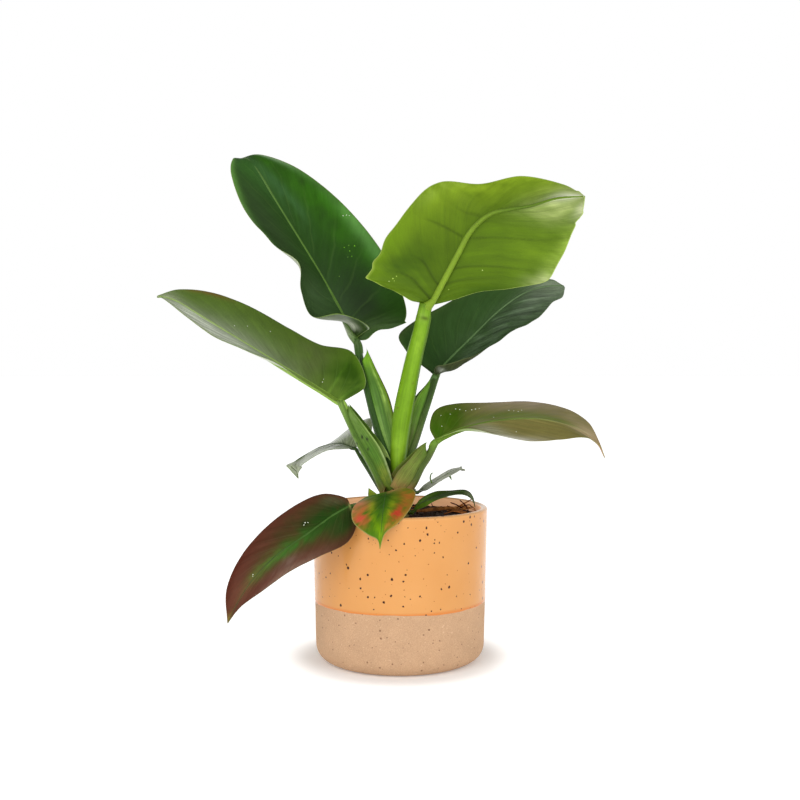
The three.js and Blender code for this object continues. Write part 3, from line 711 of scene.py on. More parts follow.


# The leaves, from the youngest to the oldest. back, wing, half and body are a stalk's back line, the line of
# its wing edges, half its width and its depth. left and right are the margins between the ends of mid.

# The strokes paint the leaves' own colours and, where noted at a leaf, painted glare, sheen, highlights and
# shade.
LEAVES = [dict(
    name="leaf_new", slot="leaf_new", stalk_slot="stalk_lime", rows=230, cols=60,
    back=[(-2, -12, 151), (-1, -14, 179), (2, -17, 202), (6, -21, 223), (11, -25, 247), (16, -28, 267),
        (20, -31, 287)],
    wing=[(-2, 2, 150), (0, 1, 178), (3, -1, 201), (7, -5, 223), (12, -10, 247), (17, -15, 267),
        (21, -22, 288)],
    half=[6, 7.4, 7.8, 7.2, 6.4, 5.8, 5.4], body=[14, 14, 13.5, 12, 11, 10, 9], tip=0.97, bow=1.6,
    mid=[(24, -26, 286), (36, -40, 307), (48, -54, 329), (60, -66, 348), (76, -76, 354), (91, -80, 355),
        (112, -84, 361), (137, -78, 364)],
    left=[(41, -32, 290), (62, -42, 296), (86, -54, 298), (109, -64, 304), (121, -70, 320), (128, -77, 338),
        (134, -84, 352)],
    right=[(4, -22, 293), (-25, -14, 310.5), (-14, -12, 333), (8, -26, 364), (31, -42, 380), (61, -54, 377),
        (91, -66, 381), (121, -72, 374)],
    pulls=[(1, 0.214, 0.012, (-3.2, 0, -0.6)), (1, 0.255, 0.02, (2.6, 0, -0.5)), (1, 0.15, 0.02, (0, 1, 1)),
        (1, 0.09, 0.02, (0, -1, -1)), (1, 0.36, 0.025, (-1.6, 0, 0.6)), (1, 0.31, 0.02, (1, 0, -0.5)),
        (1, 0.975, 0.015, (-1, 1, 2)), (1, 0.5, 0.05, (0, 0, 1)), (-1, 0.86, 0.02, (1.2, 0, 0.5)),
        (-1, 0.81, 0.015, (-1.5, 0, -0.5)), (-1, 0.5, 0.05, (2, 0, -1))],
    creases=[((0.09, 0.36, 0.78), 1, 1, 0.5, (0.095, 0.24, 0.27)),
        ((0.06, 0.34, 0.58), 1, 0.9, 0.42, (0.25, 0.328, 0.345)),
        ((0.1, 0.46, 0.8), 1.1, 0.8, 0.4, (0.488, 0.463, 0.438)),
        ((0.08, 0.3, 0.6), 1.2, 0.5, 0.2, (0.6, 0.56, 0.54)),
        ((0.07, 0.33, 0.7), 1.6, -0.5, -0.18, (0.16, 0.27, 0.31)),
        ((-0.05, -0.45, -0.9), 1, 0.9, 0.36, (0.358, 0.44, 0.53)),
        ((-0.03, -0.45, -0.9), 1, 0.8, 0.3, (0.507, 0.6, 0.697)),
        ((-0.05, -0.4, -0.8), 1.2, 0.6, 0.22, (0.25, 0.33, 0.42)),
        ((-0.05, -0.45, -0.9), 1.6, -0.4, -0.12, (0.43, 0.52, 0.6)),
        ((-0.05, -0.4, -0.85), 1.2, 0.5, 0.18, (0.6, 0.68, 0.76))],
    rib=([2.6, 2, 1.2, 0.5], [3, 2.3, 1.5, 0.5]), crown=0.2,
    veins=8, pillow=(0.3, 0.3), sweep=0.28,
    upper=((104, 146, 34), [((132, 170, 56), 0.1, 0, 0.2, 1, 0.5)]),
    under=((77, 104, 11, 0.35), [
        ((126, 154, 30), 0.64, 1, 0.34, 0.5, 0.95, 0.3), ((98, 124, 22), 0.64, 0.4, 0.14, 0.26, 0.6, 0.3),
        ((104, 138, 16), 0.33, 1, 0.12, 0.35, 0.85), ((90, 118, 16), 0.46, 1, 0.06, 0.3, 0.6, 0.4),
        ((92, 120, 18), 0.6, -0.72, 0.12, 0.3, 0.6, 0.4), ((132, 156, 60), 0.55, 0.95, 0.08, 0.12, 0.5, 0.8),
        ((66, 92, 8), 0.3, 0.3, 0.16, 0.3, 0.6, 0.5), ((58, 86, 8), 0.3, 0.62, 0.1, 0.26, 0.7, 0.3),
        ((56, 84, 10), 0.27, -1, 0.13, 0.35, 0.85), ((94, 118, 36, 0.8), 0.75, -0.3, 0.08, 0.4, 0.6, 0.5),
        ((140, 154, 88, 1), 0.86, -0.4, 0.09, 0.55, 0.85, 0.3),
        ((126, 148, 52, 0.8), 0.88, 0.6, 0.07, 0.3, 0.5, 0.4),
        ((134, 160, 60, 1), 0.62, -1, 0.15, 0.12, 0.6, 0.6),
        ((170, 180, 124, 1.2), 0.49, -1, 0.05, 0.14, 0.6, 0.6),
        # Painted sheen: the pale whitish strokes at the tip (u 0.9 to 0.97) stand for the under face's sheen.
        ((186, 192, 150, 0.9), 0.9, -0.95, 0.06, 0.14, 0.8), ((176, 200, 84), 0.2, 1, 0.12, 0.025, 0.9),
        ((164, 176, 112, 0.9), 0.97, 0.2, 0.07, 1.2, 0.85),
        ((212, 216, 190, 0.9), 0.97, 0.1, 0.06, 0.4, 0.97)]),
    under_finish=dict(specular=0.1, sheen=0.5, rim=(176, 198, 104), vein=(60, 88, 14)),
    rib_tone=((118, 146, 40), [((74, 100, 24), 0.8, 0.5, 0.22, 3, 0.9)]),
    stalk_tone=((104, 144, 20, 0.6), [
        ((72, 112, 16), 0.5, -0.75, 2, 0.3, 0.75), ((86, 126, 22), 0.5, 0.75, 2, 0.3, 0.7),
        ((122, 162, 40), 0.55, -0.1, 0.5, 0.12, 0.5), ((138, 178, 46), 0.12, 0, 0.07, 0.26, 0.8, 0.3),
        ((134, 172, 44), 0.76, -0.05, 0.09, 0.2, 0.7, 0.5), ((126, 158, 60), 0.93, 0.1, 0.05, 0.3, 0.6, 0.5),
        ((78, 100, 22), 0.91, -0.1, 0.012, 0.3, 0.7, 0.8), ((84, 70, 34), 0.35, 0.2, 0.006, 0.04, 0.8),
        ((84, 70, 34), 0.52, -0.2, 0.005, 0.03, 0.8), ((150, 178, 90), 0.5, -0.55, 0.5, 0.04, 0.6, 0.6),
        ((60, 84, 20), 0.99, 0, 0.02, 3, 0.5)]),
    # Painted shade: the dark stroke at side 0 darkens the wings towards where they leave the stalk's body.
    wing_tone=((112, 146, 44, 0.6), [((56, 84, 16), 0.5, 0, 3, 0.35, 0.8)]),
    drops=[(0.229, 0.65, -0.6, (172, 200, 84)), (0.244, 0.62, -0.5, (172, 200, 84)),
        (0.214, 0.69, -0.45, (190, 210, 120)), (0.22, 0.62, -0.4, (172, 200, 84)),
        (0.224, -0.25, -0.4, (172, 200, 84)), (0.403, -0.41, -0.45, (190, 210, 120))],
), dict(
    name="leaf_tall_left", slot="leaf_dark", stalk_slot="stalk_green", rows=200, cols=52,
    back=[(-6, -4, 140), (-14, 0, 161), (-23, 5, 190), (-30, 10, 218), (-36, 14, 241), (-39, 17, 260)],
    wing=[(2, -3, 142), (0, 0, 160), (-3, 3, 184), (-9, 7, 212), (-21, 12, 238), (-31, 17, 260)],
    half=[7.5, 7.5, 6.8, 5.8, 4.6, 3.8], body=[13, 11, 10, 9, 8.2, 7], tip=0.935, bow=0.8, free=0.13,
    mid=[(-36, 18, 261), (-48, 26, 282), (-66, 34, 314), (-85, 42, 345), (-110, 54, 385), (-128, 66, 414),
        (-141, 80, 420)],
    left=[(-26, 0, 271), (-48, -16, 280), (-70, -18, 278), (-80, -4, 300), (-82, -4, 322), (-106, 8, 339),
        (-130, 26, 369), (-144, 50, 401), (-146, 72, 418)],
    right=[(-17, 16, 268), (3, 14, 274), (3, 26, 295), (-16, 42, 336), (-49, 57, 377), (-87, 66, 408),
        (-121, 73, 422)],
    pulls=[(1, 0.23, 0.02, (4, -1, 1.5)), (1, 0.17, 0.03, (0, 0, -1)), (-1, 0.62, 0.03, (0, -2, 2)),
        (-1, 0.1, 0.03, (1, -2, -1.5)), (1, 0.04, 0.045, (2, 0, -3.5))],
    bulge=([0, 2, -8, -2, 0, 0], [0, 0, 0, 0]),
    creases=[((0.04, 0.35, 0.7), 1.5, 0.5, -0.14, (0.48, 0.56, 0.62)),
        ((0.05, 0.35, 0.65), 1.5, 0.5, -0.2, (0.28, 0.36, 0.4)),
        ((0.04, 0.35, 0.7), 1.5, 0.4, -0.16, (0.66, 0.72, 0.76)),
        ((-0.05, -0.4, -0.75), 1.5, 0.4, -0.12, (0.57, 0.64, 0.7)),
        ((-0.05, -0.4, -0.7), 1.5, 0.4, -0.12, (0.4, 0.42, 0.45))],
    rib=([3.2, 2.3, 1.4, 0.4], [3, 2.3, 1.4, 0.5]), crown=0.4,
    veins=10, pillow=(0.2, 0.25), sweep=0.2,
    # Painted highlight and reflection: the pale strokes on the right margin and the bluish ones near the tip.
    # Painted light: the bright greens on the right half (sides 0.75, 0.9) stand for light falling and shining
    # through.
    # Painted shade: the dark stroke over the left half (side -0.65) stands for shade on the half facing away.
    upper=((36, 68, 17, 0.4), [
        ((48, 68, 36), 0.5, -0.65, 0.8, 0.5, 0.9), ((52, 96, 34), 0.88, -0.5, 0.09, 0.5, 0.7),
        ((74, 96, 62), 0.6, -1, 0.3, 0.08, 0.7), ((44, 88, 14), 0.66, 0.75, 0.28, 0.32, 0.9, 0.4),
        ((50, 108, 14), 0.68, 0.9, 0.14, 0.16, 0.4, 0.8),
        ((84, 134, 64, 0.9), 0.52, 1, 0.08, 0.13, 0.85, 0.5), ((70, 112, 44), 0.76, 1, 0.16, 0.08, 0.6),
        ((56, 92, 46), 0.85, 0.15, 0.1, 0.35, 0.7), ((54, 90, 48, 0.8), 0.74, 0.28, 0.08, 0.14, 0.6, 0.8),
        ((22, 42, 10), 0.36, 0.4, 0.13, 0.32, 0.92), ((48, 70, 34, 0.9), 0.24, 0.7, 0.05, 0.3, 0.7, 0.5),
        ((66, 92, 52), 0.38, -0.45, 0.1, 0.5, 0.8), ((96, 146, 62), 0.82, -1, 0.15, 0.13, 0.85),
        ((70, 94, 46), 0.12, 0.45, 0.14, 0.5, 0.75), ((98, 152, 72), 0.56, 0.95, 0.08, 0.12, 0.6),
        ((130, 152, 122), 0.88, 1, 0.1, 0.1, 0.8)]),
    under=((50, 76, 20, 1.2), [
        ((196, 200, 182, 1.3), 0.185, -0.25, 0.06, 0.26, 0.95),
        ((150, 158, 130, 1.6), 0.32, -0.6, 0.08, 0.5, 0.9), ((180, 188, 160, 1.3), 0.52, -1, 0.16, 0.5, 0.9),
        ((34, 52, 16), 0.11, -0.1, 0.03, 0.25, 0.9), ((130, 166, 70), 0.18, -1, 0.07, 0.06, 0.85),
        ((210, 222, 196), 0.085, -1, 0.035, 0.12, 0.95), ((160, 186, 146), 0.95, 0, 0.08, 2, 0.8)]),
    upper_finish=dict(vein_strength=0.07),
    rib_tone=((88, 122, 48), [
        ((64, 92, 40), 0.04, 0, 0.08, 3, 0.9), ((190, 196, 174), 0.27, 0.25, 0.1, 0.35, 0.92),
        ((70, 98, 56), 0.95, 0, 0.25, 3, 0.8)]),
    stalk_tone=((52, 84, 30, 0.7), [
        ((92, 116, 66, 0.9), 0.97, 0, 0.06, 3, 0.7, 0.7), ((44, 72, 26), 0.5, -0.5, 0.6, 0.25, 0.7),
        ((84, 120, 60), 0.55, 0.05, 0.5, 0.12, 0.6, 0.5), ((150, 118, 72), 0, 0, 0.1, 3, 0.6),
        ((20, 34, 14), 0.82, -0.55, 0.03, 0.06, 0.9, 0.9), ((20, 34, 14), 0.72, -0.56, 0.012, 0.05, 0.9),
        ((20, 34, 14), 0.66, -0.45, 0.01, 0.05, 0.9), ((150, 170, 130), 0.78, -0.4, 0.05, 0.05, 0.5, 1)]),
    # Painted light: the pale yellow-green strokes on the lower wing (u 0.25 to 0.64) light a wing lying in
    # shade.
    # Painted shade: the dark stroke at side 0 darkens the groove where the wing leaves the stalk's body.
    wing_tone=((74, 114, 32, 1.3), [
        ((50, 78, 26), 0.8, 0, 0.24, 0.08, 0.7), ((80, 116, 48), 0.45, -0.3, 0.2, 0.25, 0.8, 0.3),
        ((106, 132, 60), 0.3, -0.8, 0.14, 0.3, 0.8, 0.3), ((118, 168, 30), 0.85, -0.4, 0.08, 0.8, 0.8),
        ((150, 184, 80), 0.64, -0.72, 0.16, 0.1, 0.85, 0.5),
        ((146, 176, 96), 0.48, -0.85, 0.1, 0.1, 0.7, 0.4), ((112, 150, 24), 0.62, -0.96, 0.4, 0.1, 0.85),
        ((92, 72, 30), 0.6, -1, 0.2, 0.04, 0.85), ((108, 158, 66), 0.25, -0.6, 0.14, 0.3, 0.6),
        ((134, 170, 82), 0.34, -0.1, 0.14, 0.2, 0.8, 0.3)]),
    drops=[(0.547, 0.54, 0.55, (110, 180, 20)), (0.532, 0.58, 0.5, (120, 190, 30)),
        (0.517, 0.56, 0.45, (100, 170, 20)), (0.537, 0.69, 0.5, (120, 190, 30)),
        (0.545, 0.62, 0.45, (110, 170, 30)), (0.52, 0.5, 0.4, (100, 160, 30)),
        (0.478, 0.23, 0.4, (110, 160, 40)), (0.607, 0.86, 0.45), (0.603, 0.91, 0.45), (0.598, 0.94, 0.4)],
), dict(
    name="leaf_right", slot="leaf_dark", stalk_slot="stalk_green", rows=180, cols=50,
    back=[(2, 2, 139), (7, 4, 154), (14, 8, 172), (20, 12, 190), (25.4, 15, 206), (30, 18, 220),
        (34, 21, 232)],
    wing=[(-3, 0, 139), (1, 3, 159), (5, 6, 180), (8, 9, 198), (13, 12, 212), (22, 17, 223), (27, 21, 231)],
    half=[7, 7, 6.6, 6, 5, 4.2, 3.6], body=[12, 10, 9.5, 9, 8.5, 7.8, 7], tip=0.93, bow=0.8, free=0.12,
    mid=[(29, 22, 230), (42, 34, 244), (62, 48, 263), (84, 62, 284), (108, 78, 301), (129, 88, 308),
        (147, 92, 309)],
    left=[(7, 26, 250), (-1, 30, 263), (11, 40, 275), (34, 52, 288), (70, 70, 307), (107, 86, 316),
        (134, 94, 315)],
    right=[(30, 8, 237), (51, 14, 242), (75, 26, 253), (97, 36, 269), (118, 46, 279), (134, 68, 295)],
    pulls=[(1, 0.93, 0.06, (3, 0, -3.6)), (-1, 0.9, 0.03, (0, 0, 0.5)), (1, 0.42, 0.04, (0, -1, 1.5)),
        (1, 0.28, 0.06, (0, 0, 1.5)), (1, 0.15, 0.04, (0, 0, 1)), (-1, 0.1, 0.05, (-1, 0, -1.5)),
        (1, 0.62, 0.04, (1, 0, -0.8))],
    bulge=([0, 0, 0], [0, -6, -2, 0, 0]),
    creases=[((-0.04, -0.4, -0.8), 1.4, 0.4, -0.12, (0.4, 0.46, 0.52), (0.52, 0.58, 0.64)),
        ((-0.04, -0.4, -0.8), 1.4, 0.4, -0.14, (0.28, 0.33, 0.38)),
        ((0.1, 0.5, 0.95), 1.3, 0.9, 0.2, (0.45, 0.56, 0.68), (0.56, 0.67, 0.78)),
        ((0.1, 0.5, 0.95), 1.3, 0.9, 0.16, (0.66, 0.76, 0.86)),
        ((0.1, 0.6, 0.95), 1.3, 0.9, 0.2, (0.34, 0.46, 0.55)),
        ((0.1, 0.55, 0.95), 1.2, -0.6, -0.3, (0.5, 0.62, 0.74)),
        ((0.1, 0.5, 0.95), 1.2, -0.6, -0.3, (0.61, 0.72, 0.82)),
        ((0.1, 0.5, 0.95), 1.2, -0.6, -0.25, (0.72, 0.81, 0.9))],
    rib=([2, 1.6, 1.1, 0.4], [2.8, 2, 1.2, 0.4]), crown=0.4,
    veins=13, pillow=(0.15, 0.6), sweep=0.26,
    # Painted reflection: the pale grey-green, strongly streaked strokes on the right half and tip paint
    # glare.
    upper=((51, 79, 34, 0.4), [
        ((30, 50, 18), 0.05, -0.5, 0.06, 0.8, 0.85), ((34, 62, 21), 0.25, -0.2, 0.16, 1.2, 0.8),
        ((54, 84, 38), 0.62, -0.5, 0.2, 0.5, 0.7, 0.4), ((72, 94, 46), 0.35, -1, 0.2, 0.1, 0.7),
        ((86, 106, 78, 1.9), 0.6, 0.5, 0.34, 0.45, 0.9, 0.3),
        ((106, 122, 98, 2), 0.82, 0.6, 0.13, 0.5, 0.85, 0.3),
        ((130, 136, 120, 1.5), 0.4, 1, 0.06, 0.06, 0.8), ((134, 146, 122, 1.2), 0.93, -0.4, 0.12, 0.8, 0.9),
        ((122, 136, 112, 1.2), 0.98, 0.4, 0.08, 1, 0.8)]),
    under=((60, 70, 42, 1.6), [
        ((160, 164, 152, 1.5), 0.15, 0.7, 0.03, 0.2, 0.8, 0.3), ((66, 66, 42), 0.4, 1, 0.2, 0.1, 0.8)]),
    upper_finish=dict(vein_strength=0.07, rim=(86, 102, 64)),
    under_finish=dict(specular=0.02, sheen=0.7, rim=(84, 96, 60)),
    rib_tone=((84, 116, 62), [((118, 144, 102), 0.75, 1, 0.3, 1, 0.6)]),
    # Painted shade: the dark stroke at side 0.5 darkens the stalk's shaded flank.
    stalk_tone=((70, 98, 38, 1.1), [
        ((88, 118, 60), 0.6, -0.1, 0.5, 0.15, 0.6, 0.5), ((34, 52, 20), 0.85, 0.5, 0.25, 0.2, 0.7),
        ((94, 110, 56), 0.4, 0.6, 0.16, 0.3, 0.7, 0.4), ((120, 100, 60), 0, 0, 0.12, 3, 0.6)]),
    # Painted shade: the dark stroke at side 0 darkens the groove where the wings leave the stalk's body.
    wing_tone=((84, 124, 36, 1.2), [
        ((40, 60, 20), 0.6, 0, 1, 0.12, 0.85), ((112, 158, 44), 0.75, 0.7, 0.2, 0.4, 0.8),
        ((92, 112, 50), 0.37, 0.5, 0.16, 0.4, 0.75, 0.4), ((74, 66, 36), 0.08, 0.5, 0.2, 0.6, 0.8, 0.4),
        ((150, 180, 90), 0.5, 0.97, 0.5, 0.06, 0.7)]),
), dict(
    name="leaf_left", slot="leaf_olive", stalk_slot="stalk_green", rows=200, cols=52,
    back=[(-15, -10, 132), (-19, -9, 144), (-26, -8, 158), (-35, -7, 174), (-44, -6, 193), (-52, -6, 210)],
    wing=[(-2, -13, 138), (-7, -13, 156), (-14, -12, 172), (-25, -10, 187), (-37, -8, 202), (-45, -6, 211)],
    half=[8.5, 8, 7, 5.8, 4.6, 3.6], body=[12, 10, 9.5, 9, 8, 7], tip=0.925, bow=0.8, free=0.13,
    mid=[(-47, -6, 209), (-63, -8, 219), (-81, -10, 230.3), (-104, -13, 244.5), (-128, -15, 259.5),
        (-152, -16, 274), (-176, -13, 289), (-196, -6, 295)],
    left=[(-54, -30, 219), (-71, -44, 228), (-93, -48, 242), (-116, -46, 249), (-141, -42, 259),
        (-165, -32, 274), (-186, -18, 290)],
    right=[(-34, -1, 217), (-28, 0, 228), (-40, 12, 250), (-67, 24, 256), (-92, 28, 269), (-126, 27, 288),
        (-156, 22, 299), (-181, 10, 301)],
    pulls=[(-1, 0.98, 0.015, (-1, 0, -1)), (1, 0.14, 0.04, (1.8, 0, 0)), (-1, 0.75, 0.1, (0, 0, 1.2)),
        (-1, 0.56, 0.06, (0, 0, 1.2)), (-1, 0.3, 0.12, (0, 0, -3.5)), (-1, 0.12, 0.09, (0, 0, -6))],
    creases=[((0.04, 0.4, 0.85), 1.3, 0.4, -0.14, (0.45, 0.5, 0.55), (0.55, 0.6, 0.66)),
        ((0.05, 0.4, 0.85), 1.3, 0.5, 0.2, (0.33, 0.38, 0.43)),
        ((0.05, 0.4, 0.85), 1.3, 0.4, -0.5, (0.25, 0.29, 0.32)),
        ((0.1, 0.4, 0.85), 1.3, 0.4, -0.5, (0.1, 0.15, 0.2)),
        ((0.04, 0.4, 0.85), 1.3, 0.4, -0.12, (0.68, 0.72, 0.77))],
    rib=([1.9, 2, 1.5, 0.5], [2.6, 2.2, 1.4, 0.5]), crown=0.6,
    veins=14, pillow=(0.12, 0.2), sweep=0.22,
    # Painted reflection: the silvery, strongly streaked strokes on the near left half and tip paint glare.
    upper=((86, 112, 38, 0.28), [
        ((92, 108, 56), 0.48, 0.2, 0.1, 0.8, 0.6, 0.4), ((46, 76, 10), 0.24, 0.65, 0.13, 0.55, 0.94, 0.3),
        ((84, 98, 50), 0.44, 0.6, 0.05, 0.5, 0.8, 0.3), ((78, 98, 32), 0.65, 0.15, 0.3, 0.12, 0.85),
        ((100, 130, 44), 0.14, 0.1, 0.1, 0.4, 0.7), ((84, 118, 26), 0.24, 1, 0.12, 0.12, 0.7),
        ((80, 104, 38), 0.65, 0.6, 0.1, 0.3, 0.6, 0.8), ((86, 112, 34), 0.88, 0.5, 0.12, 0.6, 0.7, 0.4),
        ((46, 76, 12), 0.13, 0.55, 0.07, 0.35, 0.8), ((120, 84, 40), 0.79, 1, 0.07, 0.12, 0.7, 0.5),
        ((192, 198, 180, 2.6), 0.74, -0.6, 0.24, 0.65, 0.99),
        ((146, 154, 110, 2.4), 0.66, -1, 0.25, 0.1, 0.6), ((134, 166, 64), 0.2, -0.6, 0.24, 0.45, 0.97),
        ((176, 186, 150, 2), 0.97, 0, 0.06, 1, 0.8)]),
    under=((104, 132, 52), [
        ((180, 190, 150), 0.3, -0.8, 0.1, 0.5, 0.85), ((196, 200, 184, 1.4), 0.48, -0.9, 0.07, 0.4, 0.95)]),
    upper_finish=dict(rim=(132, 152, 84), specular=0.05, sheen=0.45),
    rib_tone=((144, 178, 74), [((146, 162, 112), 0.8, 1, 0.3, 2, 0.7)]),
    # Painted highlight: the light stroke at side -0.3 is a highlight streak along the stalk.
    stalk_tone=((84, 116, 36, 1.2), [
        ((118, 150, 66), 0.93, 0, 0.14, 3, 0.8), ((58, 88, 26), 0.5, -0.62, 0.5, 0.14, 0.8),
        ((112, 142, 70), 0.55, -0.3, 0.5, 0.1, 0.7, 0.6), ((62, 96, 30), 0.3, 0, 0.5, 0.2, 0.6, 0.4),
        ((128, 100, 60), 0, 0, 0.13, 3, 0.8), ((20, 26, 14), 0.66, -0.42, 0.014, 0.07, 0.95, 0.8),
        ((20, 26, 14), 0.6, -0.36, 0.012, 0.05, 0.9, 0.8)]),
    # Painted highlight: the whitish strokes on the wing's edge at sides -0.93 and -0.97.
    # Painted light: the pale stroke at side 0.95 lights the far wing's edge, which lies in shade.
    # Painted shade: the dark stroke at side 0 darkens the groove where the wings leave the stalk's body.
    wing_tone=((76, 108, 30, 1.3), [
        ((46, 74, 20), 0.5, 0, 0.5, 0.08, 0.7), ((104, 132, 62), 0.75, -0.5, 0.2, 0.5, 0.7, 0.5),
        ((66, 110, 28), 0.35, -0.45, 0.25, 0.3, 0.7, 0.4),
        ((196, 208, 160), 0.2, -0.93, 0.16, 0.07, 0.85, 0.5), ((158, 182, 104), 0.5, -0.97, 0.3, 0.05, 0.8),
        ((122, 134, 42), 0.17, -0.5, 0.12, 0.6, 0.7, 0.4), ((176, 204, 112), 0.33, 0.95, 0.1, 0.3, 0.85),
        ((28, 30, 18), 0.6, -0.3, 0.014, 0.1, 0.95, 0.8),
        ((28, 26, 18), 0.55, -0.55, 0.014, 0.09, 0.95, 0.8),
        ((28, 26, 18), 0.49, -0.2, 0.01, 0.07, 0.9, 0.8)]),
    drops=[(0.72, 0.28, 0.5), (0.675, 0.45, 0.4), (0.605, 0.65, 0.45), (0.333, 0.14, 0.5),
        (0.34, 0.2, 0.35)],
), dict(
    name="leaf_right_low", slot="leaf_tan", stalk_slot="stalk_tan", rows=200, cols=48,
    back=[(6, -18, 133), (13, -18, 143), (19, -17, 155), (25, -16, 164), (31, -15, 176)],
    wing=[(-9, -22, 144), (-3, -22, 155), (6, -20, 164), (15, -17, 173), (26, -15, 180)],
    half=[9, 8, 6.4, 4.6, 3.2], body=[11, 9, 8, 7.2, 6.5], tip=0.91, bow=0.8, free=0.18,
    mid=[(28, -14, 179), (44, -18, 187), (64, -23, 193), (87, -28, 197), (110, -33, 197), (134, -34, 191),
        (154, -31, 179), (162.2, -30, 165.6)],
    left=[(24, -6, 189), (29, 4, 202), (45, 11, 207), (74, 11, 208), (107, 6, 209), (134, -4, 204),
        (150, -18, 194), (157, -28, 180)],
    right=[(38, -30, 185), (54, -42, 190), (77, -50, 185), (100, -54, 181), (123, -52, 182), (144, -44, 183),
        (157, -33, 176)],
    creases=[((-0.05, -0.4, -0.8), 1.2, 0.35, -0.1, (0.4, 0.46, 0.52)),
        ((0.05, 0.4, 0.8), 1.2, 0.35, -0.1, (0.55, 0.6, 0.66), (0.65, 0.7, 0.76))],
    rib=([2, 1.6, 0.9, 0.4], [2.4, 1.6, 0.9, 0.3]), crown=0.35,
    veins=12, pillow=(0.2, 0.3), sweep=0.24,
    # Painted sheen: the pale, streaked strokes on the right half (u 0.4 to 0.43) stand for a silvery sheen.
    upper=((118, 111, 60, 0.5), [
        ((134, 124, 86), 0.68, -0.7, 0.25, 0.45, 0.8, 0.3),
        ((158, 142, 120, 0.8), 0.53, -1, 0.11, 0.3, 0.9, 0.3), ((164, 146, 114), 0.87, 0, 0.06, 1.5, 0.8),
        ((164, 128, 98), 0.97, 0, 0.08, 2, 0.8), ((92, 110, 34), 0.52, -0.25, 0.2, 0.22, 0.88),
        ((104, 120, 46), 0.72, -0.15, 0.14, 0.15, 0.8), ((66, 90, 16), 0.3, -0.5, 0.1, 1.2, 0.93, 0.2),
        ((56, 92, 7), 0.14, -0.3, 0.16, 1.6, 0.98), ((154, 152, 122, 2), 0.43, 0.4, 0.06, 0.42, 0.9),
        ((226, 222, 210, 1.5), 0.4, 1, 0.12, 0.2, 0.9), ((174, 158, 124, 0.8), 0.86, 0.1, 0.05, 0.6, 0.8)]),
    under=((116, 138, 64), [
        ((152, 192, 78), 0.08, 0.6, 0.22, 0.8, 0.97), ((232, 230, 220, 1), 0.36, 1, 0.08, 0.3, 0.9),
        ((176, 128, 100), 0.94, 0, 0.16, 3, 0.97)]),
    upper_finish=dict(rim=(132, 112, 72), specular=0.05, sheen=0.5),
    rib_tone=((104, 136, 44), [
        ((88, 104, 44), 0.58, 0, 0.2, 3, 0.9), ((160, 138, 100), 0.88, 0, 0.16, 3, 0.97),
        ((176, 130, 104), 1, 0, 0.12, 3, 0.9)]),
    stalk_tone=((74, 92, 38, 0.9), [
        ((150, 100, 68), 0.05, 0, 0.16, 3, 0.85), ((104, 140, 48), 0.97, 0, 0.12, 3, 0.8),
        ((112, 120, 70), 0.5, 0.2, 0.4, 0.12, 0.7, 0.5)]),
    # Painted shade: the dark stroke at side 0 darkens the groove where the wings leave the stalk's body.
    wing_tone=((104, 122, 48, 1.2), [
        ((140, 110, 62), 0.02, 0.5, 0.2, 2, 0.85, 0.3), ((80, 94, 36), 0.6, 0, 0.5, 0.12, 0.9),
        ((62, 90, 20), 0.78, 0.35, 0.14, 0.4, 0.85), ((84, 108, 36), 0.8, 0.4, 0.25, 0.5, 0.8, 0.4),
        ((112, 122, 54, 1.6), 0.45, 0.6, 0.25, 0.2, 0.7, 0.6), ((96, 84, 52), 0.4, 1, 0.3, 0.08, 0.8)]),
    drops=[(0.333, -0.78, 0.55), (0.35, -0.74, 0.6), (0.373, -0.66, 0.5), (0.395, -0.68, 0.55),
        (0.408, -0.7, 0.6), (0.42, -0.72, 0.45), (0.53, -0.5, 0.5), (0.55, -0.46, 0.4), (0.57, -0.42, 0.5),
        (0.572, -0.51, 0.45), (0.21, -0.35, 0.45), (0.3, -0.62, 0.4), (0.5, -0.2, 0.4), (0.6, 0.05, 0.4),
        (0.52, 0.55, 0.45), (0.24, -0.7, 0.4)],
), dict(
    name="leaf_back_left", slot="leaf_small", stalk_slot="stalk_green", rows=120, cols=34,
    back=[(-14, 3, 130), (-26, 16, 148), (-33.4, 28, 158), (-39, 38, 167)],
    wing=[(-8, 2, 137), (-21, 15, 152), (-28.6, 28, 161), (-36.4, 38, 171)],
    half=[5, 3.8, 2.8, 2], body=[7.5, 5.7, 4.2, 3], tip=0.8,
    mid=[(-39, 40, 168), (-50, 45, 171), (-62, 52, 170), (-75, 58, 165), (-87, 64, 157), (-96, 67, 151),
        (-91, 65, 146), (-89, 62, 139)],
    left=[(-48, 30, 168), (-61, 27, 167), (-73, 30, 161), (-84, 40, 153), (-88, 54, 147)],
    right=[(-26, 50, 177), (-26, 62, 192), (-44, 76, 183), (-62, 84, 169), (-80, 84, 160), (-96, 76, 151),
        (-96, 68, 146)],
    pulls=[(-1, 0.8, 0.05, (3, 0, 2)), (1, 0.8, 0.06, (-3, 0, 1))],
    creases=[((-0.1, -0.5, -0.9), 1, 0.4, 0.25, (0.3, 0.45, 0.6), (0.45, 0.6, 0.72), (0.15, 0.3, 0.42))],
    rib=([1.3, 1, 0.7, 0.3], [1.6, 1.1, 0.7, 0.3]),
    veins=14, pillow=(0.3, 0.2),
    # Partly painted reflection: the pale grey-green base and pale streaked stroke paint glare the gloss also
    # gives.
    upper=((144, 154, 122, 1.8), [
        ((58, 74, 36), 0.4, -0.26, 0.3, 0.1, 0.95), ((134, 146, 108, 1.6), 0.3, 0.6, 0.3, 0.5, 0.7),
        ((52, 64, 26), 0.38, 0, 0.3, 0.05, 0.85), ((94, 104, 62), 0.8, -0.5, 0.15, 0.6, 0.85, 0.4),
